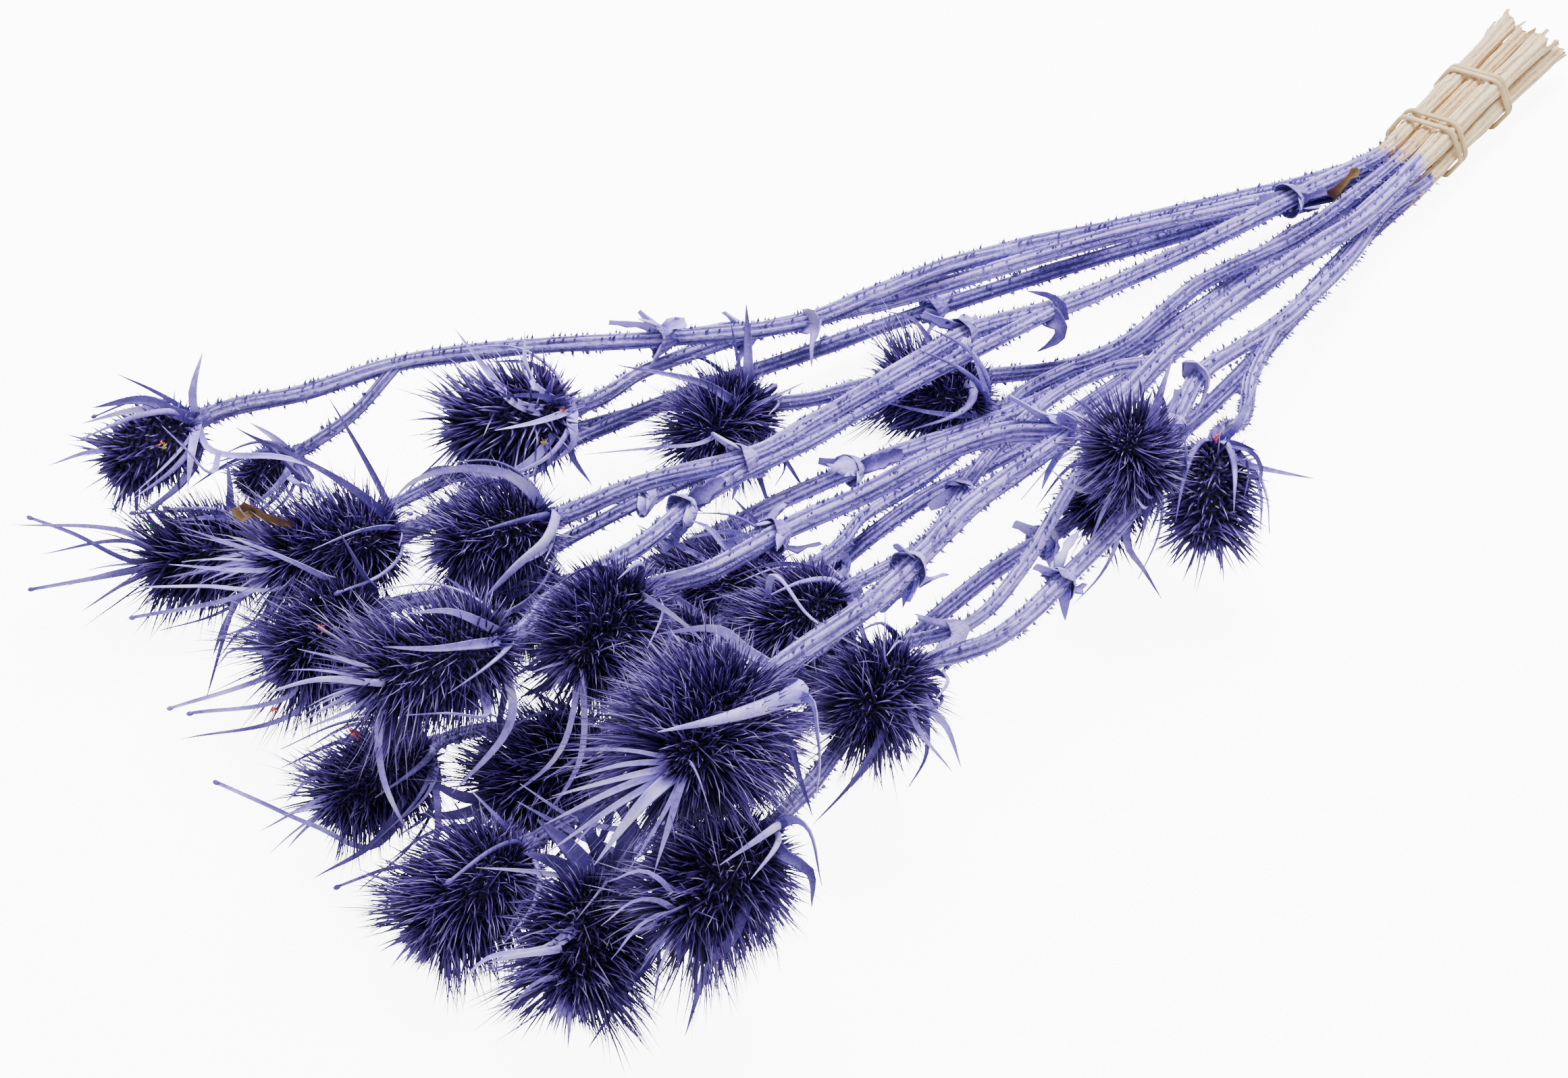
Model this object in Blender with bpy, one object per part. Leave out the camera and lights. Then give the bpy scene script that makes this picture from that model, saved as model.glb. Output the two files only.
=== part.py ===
"""A bunch of dried, dyed teasels, tied at the foot with two rubber bands and
laid on its side.

Ten prickly stems leave the bands together and fan out into 26 egg-shaped
bristly heads.  Everything is in metres; the tables are in millimetres, in a
layout frame whose +X runs from the bands to the heads, with z = 0 on the
surface that the bunch lies on and x = 0 at the band on the fan's side.
"""
import math
import random

import bmesh
import bpy
import numpy as np
from mathutils import Matrix, Vector

# ---------------------------------------------------------------- layout (mm)

MM = 0.001
RINGS = 30.0            # distance between a stem's rings
SKEW = math.radians(12.5)  # the tied part points this far off +X
CUT = -79.0             # cut ends, measured along the tied part
BANDS = {"band_cut_side": -38.0, "band_fan_side": 0.0}
FAN = 22.0              # the stems part company here

# Slot of each stem in the tie (across, up), its radius there and its cut end.
SLOTS = {
    "A": (-10.6, 11.0, 3.0, -3), "B": (-3.6, 11.2, 2.9, 4),
    "C": (-7.2, 4.9, 2.9, 0), "D": (-7.0, 17.2, 3.2, -5),
    "E": (7.2, 17.6, 3.6, 3), "F": (0.0, 4.9, 2.9, -2),
    "G": (3.5, 11.2, 2.9, 2), "H": (10.7, 11.0, 3.1, -6),
    "J": (0.0, 17.4, 2.9, 1), "L": (7.3, 4.9, 2.9, 5),
}

# Head: centre, yaw and pitch of its tip, length and width over the awns.
HEADS = {
    "A1": ((478, -128, 52), -18, -19, 34, 26),
    "A2": ((441, -121, 26), -21, -24, 20, 16),
    "B1": ((376, -77, 38), -36, -9, 42, 33),
    "C1": ((462, -60, 43), -21, 0, 47, 32),
    "C2": ((474, -111, 16), -29, 1, 40, 29),
    "D1": ((431, -16, 58), -15, 2, 38, 31),
    "D2": ((484, 20, 62), -18, -2, 50, 33),
    "E1": ((436, 41, 58), 20, 3, 42, 35),
    "E2": ((456, 109, 75), 26, 13, 50, 44),
    "E3": ((368, 70, 18), -6, -14, 24, 20),
    "E4": ((378, 61, 41), -14, -14, 36, 30),
    "F1": ((412, 43, 29), -6, -28, 38, 32),
    "F2": ((462, 42, 19), -9, -11, 42, 34),
    "F3": ((499, 8, 17), -5, -7, 40, 30),
    "G1": ((429, -12, 30), -27, -18, 36, 29),
    "G2": ((374, 22, 29), -37, -7, 42, 32),
    "H1": ((383, 103, 42), 17, 12, 36, 31),
    "H2": ((236, 103, 34), 38, -27, 38, 29),
    "H3": ((256, 86, 56), 6, 61, 32, 29),
    "H4": ((245, 68, 20), -2, -45, 32, 27),
    "J1": ((318, -37, 27), 21, 16, 38, 33),
    "J2": ((246, -14, 18), -54, 13, 40, 33),
    "J3": ((481, -38, 31), -1, -3, 40, 32),
    "L1": ((474, 131, 46), 8, -10, 44, 37),
    "L2": ((499, 105, 19), 33, -14, 42, 36),
    "L3": ((511, 66, 19), -2, -17, 44, 37),
}

# Route of each stem from the fan to its first head, then of each branch:
# (fork as route and point, or None), radius at the head, points, head.
ROUTES = {
    "A1": (None, 2.0, [(98, -22.5, 17.5), (202, -49, 29), (266, -55, 34), (307, -71, 40),
                       (344, -91, 45), (388, -115, 47), (419, -123, 47)]),
    "A2": (("A1", 5), 1.6, [(410, -112, 39)]),
    "B1": (None, 1.9, [(70, -9, 16), (146, -26, 26), (228, -55, 23), (274, -67, 28), (318, -72, 32)]),
    "C1": (None, 1.9, [(60, -12, 7), (120, -22, 15), (197, -53, 8), (254, -62, 12), (319, -71, 17),
                       (348, -74, 18), (386, -75, 20)]),
    "C2": (("C1", 4), 1.6, [(370, -86, 17), (421, -87, 20)]),
    "D1": (None, 2.2, [(75, 2, 25), (129, -5, 22), (189, -7, 28), (226, -12, 34), (261, -9, 38),
                       (306, -5, 42), (335, -2, 46), (375, -10, 52)]),
    "D2": (("D1", 2), 2.2, [(247, -4, 35), (283, -5, 36), (311, -1, 40), (343, 1, 45), (367, 5, 49),
                            (394, 13, 53), (434, 18, 58)]),
    "E1": (None, 2.4, [(61, 21, 19), (137, 31, 28), (192, 41, 33), (225, 52, 38), (247, 55, 42),
                       (266, 43, 44), (291, 38, 46), (328, 38, 49), (357, 37, 52), (390, 38, 55)]),
    "E2": (("E1", 4), 2.6, [(281, 62, 48), (311, 69, 54), (345, 81, 60), (376, 91, 66)]),
    "E3": (("E1", 3), 1.8, [(250, 64, 40), (276, 75, 38), (301, 83, 32), (328, 87, 28)]),
    "E4": (("E1", 2), 1.9, [(204, 30, 30), (226, 27, 29), (255, 32, 30), (283, 42, 32), (315, 55, 33),
                            (344, 53, 32)]),
    "F1": (None, 1.9, [(73, -2, 4), (167, 14, 4), (206, 20, 8), (234, 22, 10), (263, 22, 12),
                       (287, 22, 13), (318, 23, 10), (340, 33, 14), (357, 41, 21)]),
    "F2": (("F1", 8), 1.6, [(398, 29, 4), (431, 31, 8)]),
    "F3": (("F2", 1), 1.6, [(440, 12, 6)]),
    "G1": (None, 1.9, [(88, 6, 9), (143, 12, 11), (194, 8, 8), (239, 10, 15), (259, 7, 17), (292, 4, 22),
                       (325, 3, 26), (357, 2, 28), (387, -2, 27)]),
    "G2": (("G1", 3), 1.7, [(273, 16, 15), (306, 19, 18)]),
    "H1": (None, 2.1, [(44, 17, 11), (81, 30, 14), (139, 47, 24), (188, 56, 34), (216, 70, 38),
                       (253, 88, 37), (295, 98, 36), (336, 106, 39)]),
    "H2": (("H1", 2), 1.8, [(172, 64, 28), (194, 80, 32)]),
    "H3": (("H1", 4), 1.8, [(236, 82, 38)]),
    "H4": (("H1", 4), 1.6, []),
    "J1": (None, 2.0, [(90, 13, 19), (130, 6, 16), (175, 11, 15), (194, 6, 13), (211, -13, 7),
                       (230, -30, 6), (253, -35, 12), (279, -35, 20)]),
    "J2": (("J1", 3), 1.8, [(214, 5, 14)]),
    "J3": (("J1", 6), 1.8, [(292, -23, 21), (328, -18, 31), (359, -22, 32), (394, -22, 34), (428, -30, 28)]),
    "L1": (None, 2.0, [(70, 20, 4), (145, 42, 7), (208, 53, 7), (260, 59, 8), (296, 66, 17),
                       (334, 67, 11), (376, 90, 25), (408, 106, 31)]),
    "L2": (("L1", 6), 1.8, [(384, 76, 17), (427, 79, 12)]),
    "L3": (("L2", 0), 1.8, [(406, 64, 10), (446, 61, 14)]),
}
SEAT = 0.5              # a head's foot stands this far off the end of its stem


def tie_point(across, up, along):
    """A point in the tied part, from its place across, up and along it."""
    c, s = math.cos(SKEW), math.sin(SKEW)
    return np.array([along * c - across * s, along * s + across * c, up])


def direction(yaw, pitch):
    yaw, pitch = math.radians(yaw), math.radians(pitch)
    return np.array([math.cos(pitch) * math.cos(yaw), math.cos(pitch) * math.sin(yaw), math.sin(pitch)])


def waypoints(name):
    """All the points that a stem or branch is led through, foot to head."""
    fork, _, points = ROUTES[name]
    if fork:
        parent, index = fork
        before = 1 if ROUTES[parent][0] else 4      # points ahead of its table's first
        start = [waypoints(parent)[before + index]]
    else:
        across, up, _, cut = SLOTS[name[0]]
        start = [tie_point(across * splay, up, along) for along, splay in
                 ((CUT + cut, 1.13), (BANDS["band_cut_side"], 1.0), (0.0, 1.0), (FAN, 1.02))]
    centre, yaw, pitch, length, _ = HEADS[name]
    foot = np.array(centre) - direction(yaw, pitch) * (length / 2 + SEAT)
    return start + [np.array(p, float) for p in points] + [foot]


def led_through(points, spacing, end=None):
    """A smooth line through points, with a point about every spacing."""
    points = [np.asarray(p, float) for p in points]
    last = len(points) - 1
    ways = []
    for i in range(len(points)):
        way = points[min(i + 1, last)] - points[max(i - 1, 0)]
        if i == last and end is not None:
            way = np.asarray(end)
        ways.append(way / np.linalg.norm(way))
    line = []
    for i in range(last):
        p, q = points[i], points[i + 1]
        run = np.linalg.norm(q - p)
        steps = max(1, round(run / spacing))
        for k in range(steps):
            t = k / steps
            line.append((2 * t**3 - 3 * t**2 + 1) * p + (t**3 - 2 * t**2 + t) * run * ways[i]
                        + (3 * t**2 - 2 * t**3) * q + (t**3 - t**2) * run * ways[i + 1])
    return np.array(line + [points[-1]])


def stem_radii(name, line):
    """Thick in the tie, thinner towards the head."""
    run = np.concatenate([[0], np.cumsum(np.linalg.norm(np.diff(line, axis=0), axis=1))])
    run /= run[-1]
    tip = ROUTES[name][1]
    if ROUTES[name][0]:
        return tip * (1.12 - 0.12 * run)
    root = SLOTS[name[0]][2]
    return root + (tip - root) * np.clip((run - 0.15) / 0.85, 0, 1)

# ------------------------------------------------------------ end of layout


GREY_STRAW = (0.76, 0.66, 0.50)
STEM_LILAC = (0.36, 0.32, 0.62)
HEAD_INDIGO = (0.05, 0.04, 0.16)
BAND_BEIGE = (0.55, 0.50, 0.33)

SIDES = 6               # of a stem
AWN = 0.16              # length of an awn, as a share of the head's width
CLEAR = 0.45            # kept between one node and the next
BRACTS = 5              # long narrow leaves round the foot of a head
PRICKLE = 2.4           # length of a prickle
PRICKLE_EVERY = 27.0
TURN = math.radians(137.5)  # from one prickle, or leaf, to the next

# Leaf cups: (route, point, length of its two torn leaf bases).
CUPS = [
    ("A1", 4, 0), ("A1", 7, 10), ("B1", 7, 12), ("C1", 6, 18), ("D1", 4, 9), ("D1", 7, 14),
    ("D1", 10, 12), ("D2", 5, 8), ("E1", 4, 8), ("E1", 8, 22), ("E1", 12, 16),
    ("E2", 3, 10), ("E3", 4, 14), ("E4", 4, 10), ("E4", 6, 20), ("F1", 10, 14), ("G1", 9, 10),
    ("H1", 4, 7), ("H1", 8, 24), ("H1", 10, 10), ("J1", 6, 12), ("J3", 3, 9), ("L1", 7, 10), ("L1", 10, 10),
]

# Bands: one turn beside the other, crossed over on top.
BAND_THICK = 1.5
BAND_POINTS = 22        # in a turn


class Crowd:
    """Every stem, head and leaf as a chain of capsules, to keep new ones clear."""

    def __init__(self):
        self.owner, self.a, self.b, self.r = [], [], [], []

    def add(self, owner, points, radii):
        for i in range(len(points) - 1):
            self.owner.append(owner)
            self.a.append(points[i])
            self.b.append(points[i + 1])
            self.r.append((radii[i], radii[i + 1]))

    def room(self, points, leave_out=(), only=None):
        """For each point, its distance to the nearest surface in the crowd."""
        keep = [i for i, o in enumerate(self.owner)
                if o not in leave_out and (only is None or only(o))]
        if not keep:
            return np.full(len(points), 1e3)
        a, b, r = (np.array([x[i] for i in keep]) for x in (self.a, self.b, self.r))
        d = b - a
        q = np.asarray(points)[:, None] - a
        t = np.clip((q * d).sum(2) / np.maximum((d * d).sum(1), 1e-9), 0, 1)
        far = np.linalg.norm(q - t[..., None] * d, axis=2)
        return (far - r[:, 0] - (r[:, 1] - r[:, 0]) * t).min(1)


crowd = Crowd()


def frame_along(way, near=(0, 0, 1)):
    """A rotation whose Z is way and whose X is as near as can be to near."""
    z = Vector(way).normalized()
    x = Vector(near) - z * Vector(near).dot(z)
    if x.length < 1e-3:
        x = Vector((1, 0, 0)) - z * z.x
    x.normalize()
    return Matrix((x, z.cross(x), z)).transposed()


def round_about(way, turn):
    """A unit vector square to way, turned round it."""
    m = frame_along(way)
    return np.array(m @ Vector((math.cos(turn), math.sin(turn), 0)))

# ------------------------------------------------------------------- scene


def new_collection(name):
    collection = bpy.data.collections.new(name)
    bpy.context.scene.collection.children.link(collection)
    return collection


def material(name, colour, roughness):
    mat = bpy.data.materials.new(name)
    mat.use_nodes = True
    bsdf = mat.node_tree.nodes["Principled BSDF"]
    bsdf.inputs["Base Color"].default_value = (*colour, 1)
    bsdf.inputs["Roughness"].default_value = roughness
    bsdf.inputs["Metallic"].default_value = 0.0
    mat.diffuse_color = (*colour, 1)
    return mat


def mesh_object(name, bm, collection):
    """A new object from a bmesh in millimetres."""
    bmesh.ops.scale(bm, vec=(MM, MM, MM), verts=bm.verts)
    bmesh.ops.recalc_face_normals(bm, faces=bm.faces)
    mesh = bpy.data.meshes.new(name)
    bm.to_mesh(mesh)
    bm.free()
    obj = bpy.data.objects.new(name, mesh)
    collection.objects.link(obj)
    return obj


def tube(name, line, radii, collection, resolution=1, cyclic=False):
    """A mesh tube along a line (mm): a bevelled curve, made a mesh."""
    curve = bpy.data.curves.new("route", "CURVE")
    curve.dimensions = "3D"
    curve.twist_mode = "MINIMUM"
    curve.bevel_depth = 1.0
    curve.bevel_resolution = resolution
    curve.use_fill_caps = not cyclic
    spline = curve.splines.new("POLY")
    spline.points.add(len(line) - 1)
    for point, at, r in zip(spline.points, line, radii):
        point.co = (*(at * MM), 1)
        point.radius = r * MM
    spline.use_cyclic_u = cyclic
    spline.use_smooth = False
    obj = bpy.data.objects.new("route", curve)
    collection.objects.link(obj)
    bpy.context.view_layer.update()
    ready = obj.evaluated_get(bpy.context.evaluated_depsgraph_get())
    mesh = bpy.data.meshes.new_from_object(ready)
    bm = bmesh.new()
    bm.from_mesh(mesh)
    bmesh.ops.remove_doubles(bm, verts=bm.verts, dist=0.00002)
    bmesh.ops.recalc_face_normals(bm, faces=bm.faces)
    bm.to_mesh(mesh)
    bm.free()
    made = bpy.data.objects.new(name, mesh)
    made.matrix_world = obj.matrix_world
    collection.objects.link(made)
    bpy.data.objects.remove(obj)
    return made


def horn(name, line, widths, thicks, flat_to, collection):
    """A three-sided blade along a line, keel down: drawn out ring by ring."""
    bm = bmesh.new()
    ring = bmesh.ops.create_circle(bm, cap_ends=True, segments=3, radius=1.0)["verts"]
    face = ring[0].link_faces[0]
    for i, at in enumerate(line):
        if i:
            grown = bmesh.ops.extrude_face_region(bm, geom=[face])["geom"]
            ring = [next(e.other_vert(v) for e in v.link_edges if e.other_vert(v) in grown) for v in ring]
            if i > 1:
                bmesh.ops.delete(bm, geom=[face], context="FACES_ONLY")
            face = next(g for g in grown if isinstance(g, bmesh.types.BMFace))
        way = line[min(i + 1, len(line) - 1)] - line[max(i - 1, 0)]
        place = Matrix.Translation(Vector(at)) @ frame_along(way, flat_to).to_4x4()
        corners = ((thicks[i] * 0.35, widths[i] / 2), (-thicks[i] * 0.65, 0.0), (thicks[i] * 0.35, -widths[i] / 2))
        for vert, (x, y) in zip(ring, corners):
            vert.co = place @ Vector((x, y, 0))
    return mesh_object(name, bm, collection)


def spike(name, at, way, length, radius, collection):
    """A three-sided prickle, its root sunk in the stem."""
    bm = bmesh.new()
    place = Matrix.Translation(Vector(at)) @ frame_along(way).to_4x4()
    bmesh.ops.create_cone(bm, cap_ends=True, segments=3, radius1=radius, radius2=0.0,
                          depth=length, matrix=place @ Matrix.Translation((0, 0, length / 2)))
    return mesh_object(name, bm, collection)


def flare(name, at, way, low, high, depth, dish, collection):
    """A six-sided flare round a stem, dished at its top if asked."""
    bm = bmesh.new()
    place = Matrix.Translation(Vector(at)) @ frame_along(way).to_4x4()
    bmesh.ops.create_cone(bm, cap_ends=True, segments=6, radius1=low, radius2=high,
                          depth=depth, matrix=Matrix.Translation((0, 0, depth / 2)))
    if dish:
        bm.faces.ensure_lookup_table()
        top = max(bm.faces, key=lambda f: f.calc_center_median().z)
        wall = 0.8 + (high - low) * dish / depth
        bmesh.ops.inset_individual(bm, faces=[top], thickness=wall, depth=-dish)
    bmesh.ops.transform(bm, matrix=place, verts=bm.verts)
    return mesh_object(name, bm, collection)


def fuse(body, pieces):
    """One union of a body and a collection, applied; the pieces then go."""
    union = body.modifiers.new("fused", "BOOLEAN")
    union.operation = "UNION"
    union.operand_type = "COLLECTION"
    union.collection = pieces
    union.solver = "EXACT"
    bpy.context.view_layer.update()
    ready = body.evaluated_get(bpy.context.evaluated_depsgraph_get())
    mesh = bpy.data.meshes.new_from_object(ready)
    body.modifiers.clear()
    body.data = mesh
    for obj in list(pieces.objects):
        bpy.data.objects.remove(obj)
    bpy.data.collections.remove(pieces)


# ------------------------------------------------------------------- heads


def head_core(name):
    """Axis, core radius, and the two ends of the core along the axis."""
    centre, yaw, pitch, length, width = HEADS[name]
    axis = direction(yaw, pitch)
    awn = AWN * width
    radius = width / 2 - 0.9 * awn
    return np.array(centre, float), axis, radius, -length / 2, length / 2 - awn


def head_capsule(name):
    centre, axis, radius, foot, tip = head_core(name)
    return [centre + axis * (foot + 0.9 * radius), centre + axis * (tip - radius)], [radius, radius]


def build_head(name, collection, mat):
    """An egg of 80 bristles, each cut short where something else lies."""
    rng = random.Random("head" + name)
    centre, axis, radius, foot, tip = head_core(name)
    awn = AWN * HEADS[name][4]
    owner = "head_" + name
    bm = bmesh.new()
    bmesh.ops.create_icosphere(bm, subdivisions=2, radius=1.0,
                               matrix=Matrix.Rotation(rng.uniform(0, 1), 4, "Z"))
    turn = np.array(frame_along(axis))
    flat = 0.93                     # the egg is cut off flat here, at its foot
    half = (tip - foot) / (1 + flat)
    middle = centre + axis * (foot + flat * half)
    for vert in bm.verts:
        x, y, z = vert.co
        plump = radius * (1 - 0.10 * z)
        z = max(z, -flat) * half
        vert.co = Vector(middle + turn @ np.array([x * plump, y * plump, z]))
    faces = list(bm.faces)
    bm.normal_update()
    normals = [np.array(f.normal) for f in faces]
    tops = bmesh.ops.poke(bm, faces=faces)["verts"]
    others = lambda o: o != owner and o.startswith("head_")
    slender = lambda o: not o.startswith("head_")
    for vert, normal in zip(tops, normals):
        at = np.array(vert.co)
        if normal @ axis < -0.9:
            continue
        crown = max(0.0, (normal @ axis - 0.6) / 0.4)
        way = normal + axis * (0.55 - 0.2 * crown)
        way /= np.linalg.norm(way)
        long = awn * (1.0 + 0.55 * crown) * rng.uniform(0.85, 1.15) * (0.6 if normal @ axis < -0.5 else 1)
        for share in (1.0, 0.8, 0.6, 0.4, 0.2, 0.08):
            up = np.array([0.3, 0.65, 1.0])
            points = at + way * long * share * up[:, None]
            wide = (1 - up) * radius * 0.28
            own = crowd.room(points, only=lambda o: o == owner)
            if (crowd.room(points, only=others) > np.maximum(own, 0) + CLEAR + 0.2).all() and \
                    (crowd.room(points, only=slender) > wide + CLEAR).all() and points[-1][2] > 0:
                break
        vert.co = Vector(at + way * long * share)
    obj = mesh_object(owner, bm, collection)
    obj.data.materials.append(mat)
    return obj


# ------------------------------------------------------------------- stems


def bract_lines(name):
    """Centre lines of the bracts round a head's foot, clear of all else."""
    rng = random.Random("bract" + name)
    centre, axis, radius, foot, tip = head_core(name)
    length, width = HEADS[name][3:]
    root = centre + axis * (foot - SEAT)
    lines = []
    start = rng.uniform(0, 6.28)
    for k in range(BRACTS):
        size = length * rng.uniform(0.85, 1.3)
        for turn, spread, share in [(t, s, q) for q in (1, 0.8, 0.6) for s in (1.0, 1.25, 0.85)
                                    for t in (0, 0.35, -0.35)]:
            out = round_about(axis, start + (k + turn) * 2 * math.pi / BRACTS)
            s = np.array([0, 0.3, 0.65, 1.0])[:, None]
            line = root + axis * (-1.6 + 0.85 * size * share * s ** 1.7) \
                + out * ((width / 2 + 5) * spread * (1 - (1 - s) ** 1.9) * min(1, share + 0.2))
            fine = led_through(list(line), 3.0)
            own = crowd.room(fine[3:], only=lambda o: o == "head_" + name)
            rest = crowd.room(fine, leave_out=("head_" + name, "stem_" + name[0]))
            if (rest > 1.6).all() and (own > 1.8).all() and (fine[:, 2] > 0.9).all():
                lines.append(line)
                crowd.add("stem_" + name[0], line, [0.95, 0.95, 0.85, 0.65])
                break
    return lines


def build_stem(letter, collection, mat, lines, bracts, cups):
    """A stem with its branches, leaf cups, bracts and prickles, in one piece."""
    rng = random.Random("stem" + letter)
    mine = "stem_" + letter
    pieces = new_collection("pieces_" + letter)
    body = None
    prickles = []
    for name, (line, radii) in lines.items():
        if name[0] != letter:
            continue
        way = direction(*HEADS[name][1:3])
        inside = np.vstack([line[:-1], line[-1] - way * 1.2])   # ends within its seat
        tubed = tube(mine if body is None else "branch_" + name, inside, radii,
                     collection if body is None else pieces)
        body = body or tubed
        flare("seat", line[-1] - way * 4.5, way, radii[-1] * 0.8, min(HEADS[name][4] * 0.13, radii[-1] + 2.2), 4.5, 0, pieces)
        for blade in bracts[name]:
            foot = blade[0] - way * 0.8
            horn("bract", [foot, *blade[1:]], [2.8, 2.7, 2.2, 1.1], [1.6, 1.5, 1.3, 0.9], way, pieces)
        run = np.concatenate([[0], np.cumsum(np.linalg.norm(np.diff(line, axis=0), axis=1))])
        start = 95.0 if ROUTES[name][0] is None else 14.0
        turn = rng.uniform(0, 6.28)
        along = start
        while along < run[-1] - 8:
            i = np.searchsorted(run, along) - 1
            t = (along - run[i]) / (run[i + 1] - run[i])
            at = line[i] * (1 - t) + line[i + 1] * t
            thick = radii[i] * (1 - t) + radii[i + 1] * t
            step = line[i + 1] - line[i]
            out = round_about(step, turn)
            lean = out - 0.25 * step / np.linalg.norm(step)
            tip = at + lean * (thick + PRICKLE * 0.8)
            if crowd.room([tip], leave_out=(mine,))[0] > CLEAR + 0.3 and tip[2] > 0.3:
                spike("prickle", at + out * thick * 0.45, lean, PRICKLE + thick * 0.3, 0.95, pieces)
                prickles.append((at, tip))
            turn += TURN
            along += PRICKLE_EVERY * rng.uniform(0.7, 1.25)
    for name, at, way, low, high, flaps in cups:
        if name[0] != letter:
            continue
        flare("cup", at, way, low, high, 6.5, 2.6, pieces)
        for flap in flaps:
            horn("leaf_base", list(flap), [4.4, 3.6, 1.3], [1.4, 1.2, 0.8], way, pieces)
    fuse(body, pieces)
    for at, tip in prickles:
        crowd.add(mine, [at, tip], [0.9, 0.1])
    body.data.materials.append(mat)
    for poly in body.data.polygons:
        poly.material_index = 0
    return body


def place_cups(lines):
    """The leaf cups that have room, each with its two torn leaf bases."""
    placed = []
    for name, index, torn in CUPS:
        line, radii = lines[name]
        at = waypoints(name)[index]
        i = int(np.argmin(np.linalg.norm(line - at, axis=1)))
        way = line[min(i + 1, len(line) - 1)] - line[max(i - 1, 0)]
        way /= np.linalg.norm(way)
        mine = "stem_" + name[0]
        top = at + way * 6.0
        room = min(crowd.room([at, at + way * 3, top], leave_out=(mine,)))
        high = min(radii[i] + 2.8, room - CLEAR - 0.3)
        if high < radii[i] + 0.9:
            continue
        flaps = []
        rng = random.Random("cup" + name + str(index))
        first = rng.uniform(0, 3.14)
        for side in (0, 1) if torn else ():
            for turn in (0, 0.5, -0.5, 1.0, -1.0, 1.5):
                out = round_about(way, first + side * math.pi + turn)
                s = np.array([0, 0.5, 1.0])[:, None]
                flap = at + way * (3.5 + torn * 0.75 * s) + out * (radii[i] + 0.4 + (high - radii[i]) * s ** 0.5 + torn * 0.45 * s ** 1.6)
                if min(crowd.room(led_through(list(flap), 2.0), leave_out=(mine,))) > 2.2 and flap[:, 2].min() > 1.2:
                    flaps.append(flap)
                    crowd.add(mine, flap, [2.0, 1.7, 0.8])
                    break
        crowd.add(mine, [at, top], [radii[i] + 0.3, high])
        placed.append((name, at, way, radii[i] * 0.8, high, flaps))
    return placed


# ------------------------------------------------------------------- bands


def build_band(name, along, collection, mat):
    """A rubber band in two turns round the ten stems, crossed on top."""
    half = BAND_THICK / 2
    line = []
    for i in range(2 * BAND_POINTS):
        turn = 2 * math.pi * i / BAND_POINTS
        across, up = math.cos(turn - math.pi / 2), math.sin(turn - math.pi / 2)
        # the outermost stem in this direction carries the band here
        y, z, r = max(((y, z, r) for y, z, r, _ in SLOTS.values()),
                      key=lambda s: s[0] * across + s[1] * up + s[2])
        over = max(0.0, math.cos(turn / 2 - math.pi * 0.5)) if i < BAND_POINTS else 0.0
        lift = 1.75 * over ** 6
        reach = r + half + 0.35 + lift
        shift = 1.25 * math.cos(turn / 2)
        line.append(tie_point(y + across * reach, z + up * reach, along + shift))
    obj = tube(name, np.array(line), [half] * len(line), collection, resolution=0, cyclic=True)
    obj.data.materials.append(mat)
    return obj


# ------------------------------------------------------------------- bunch


def build():
    for obj in list(bpy.data.objects):
        bpy.data.objects.remove(obj, do_unlink=True)
    bunch = new_collection("dried_teasel_bunch")
    lilac = material("lilac_dyed_stem", STEM_LILAC, 0.75)
    indigo = material("indigo_dyed_head", HEAD_INDIGO, 0.85)
    beige = material("rubber_band", BAND_BEIGE, 0.6)

    lines = {}
    for name in ROUTES:
        line = led_through(waypoints(name), RINGS, direction(*HEADS[name][1:3]))
        radii = stem_radii(name, line)
        lines[name] = line, radii
        crowd.add("stem_" + name[0], line, radii)
    for name in HEADS:
        crowd.add("head_" + name, *head_capsule(name))
    cups = place_cups(lines)
    bracts = {name: bract_lines(name) for name in HEADS}

    made = [build_stem(letter, bunch, lilac, lines, bracts, cups) for letter in SLOTS]
    made += [build_head(name, bunch, indigo) for name in HEADS]
    made += [build_band(name, along, bunch, beige) for name, along in BANDS.items()]

    # The origin goes to the middle of the underside.
    corners = np.array([obj.matrix_world @ v.co for obj in made for v in obj.data.vertices])
    low, high = corners.min(0), corners.max(0)
    holder = bpy.data.objects.new("bunch_origin", None)
    bunch.objects.link(holder)
    holder.location = (-(low[0] + high[0]) / 2, -(low[1] + high[1]) / 2, -low[2])
    for obj in made:
        obj.parent = holder
    bpy.context.view_layer.update()


build()
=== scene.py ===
"""How the tied bunch of dried, dyed teasels looks.

The layout below is the part's own: the same slots, routes, heads and rules,
in millimetres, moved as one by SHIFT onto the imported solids.  Each stem and
each head is then replaced by a finer piece on the same line: ribbed stems
with prickles, torn leaf cups, channelled bracts, and heads of several hundred
thin awns over a pitted core.
"""
import math
import random

import bmesh
import bpy
import numpy as np
from mathutils import Matrix, Vector


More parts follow.
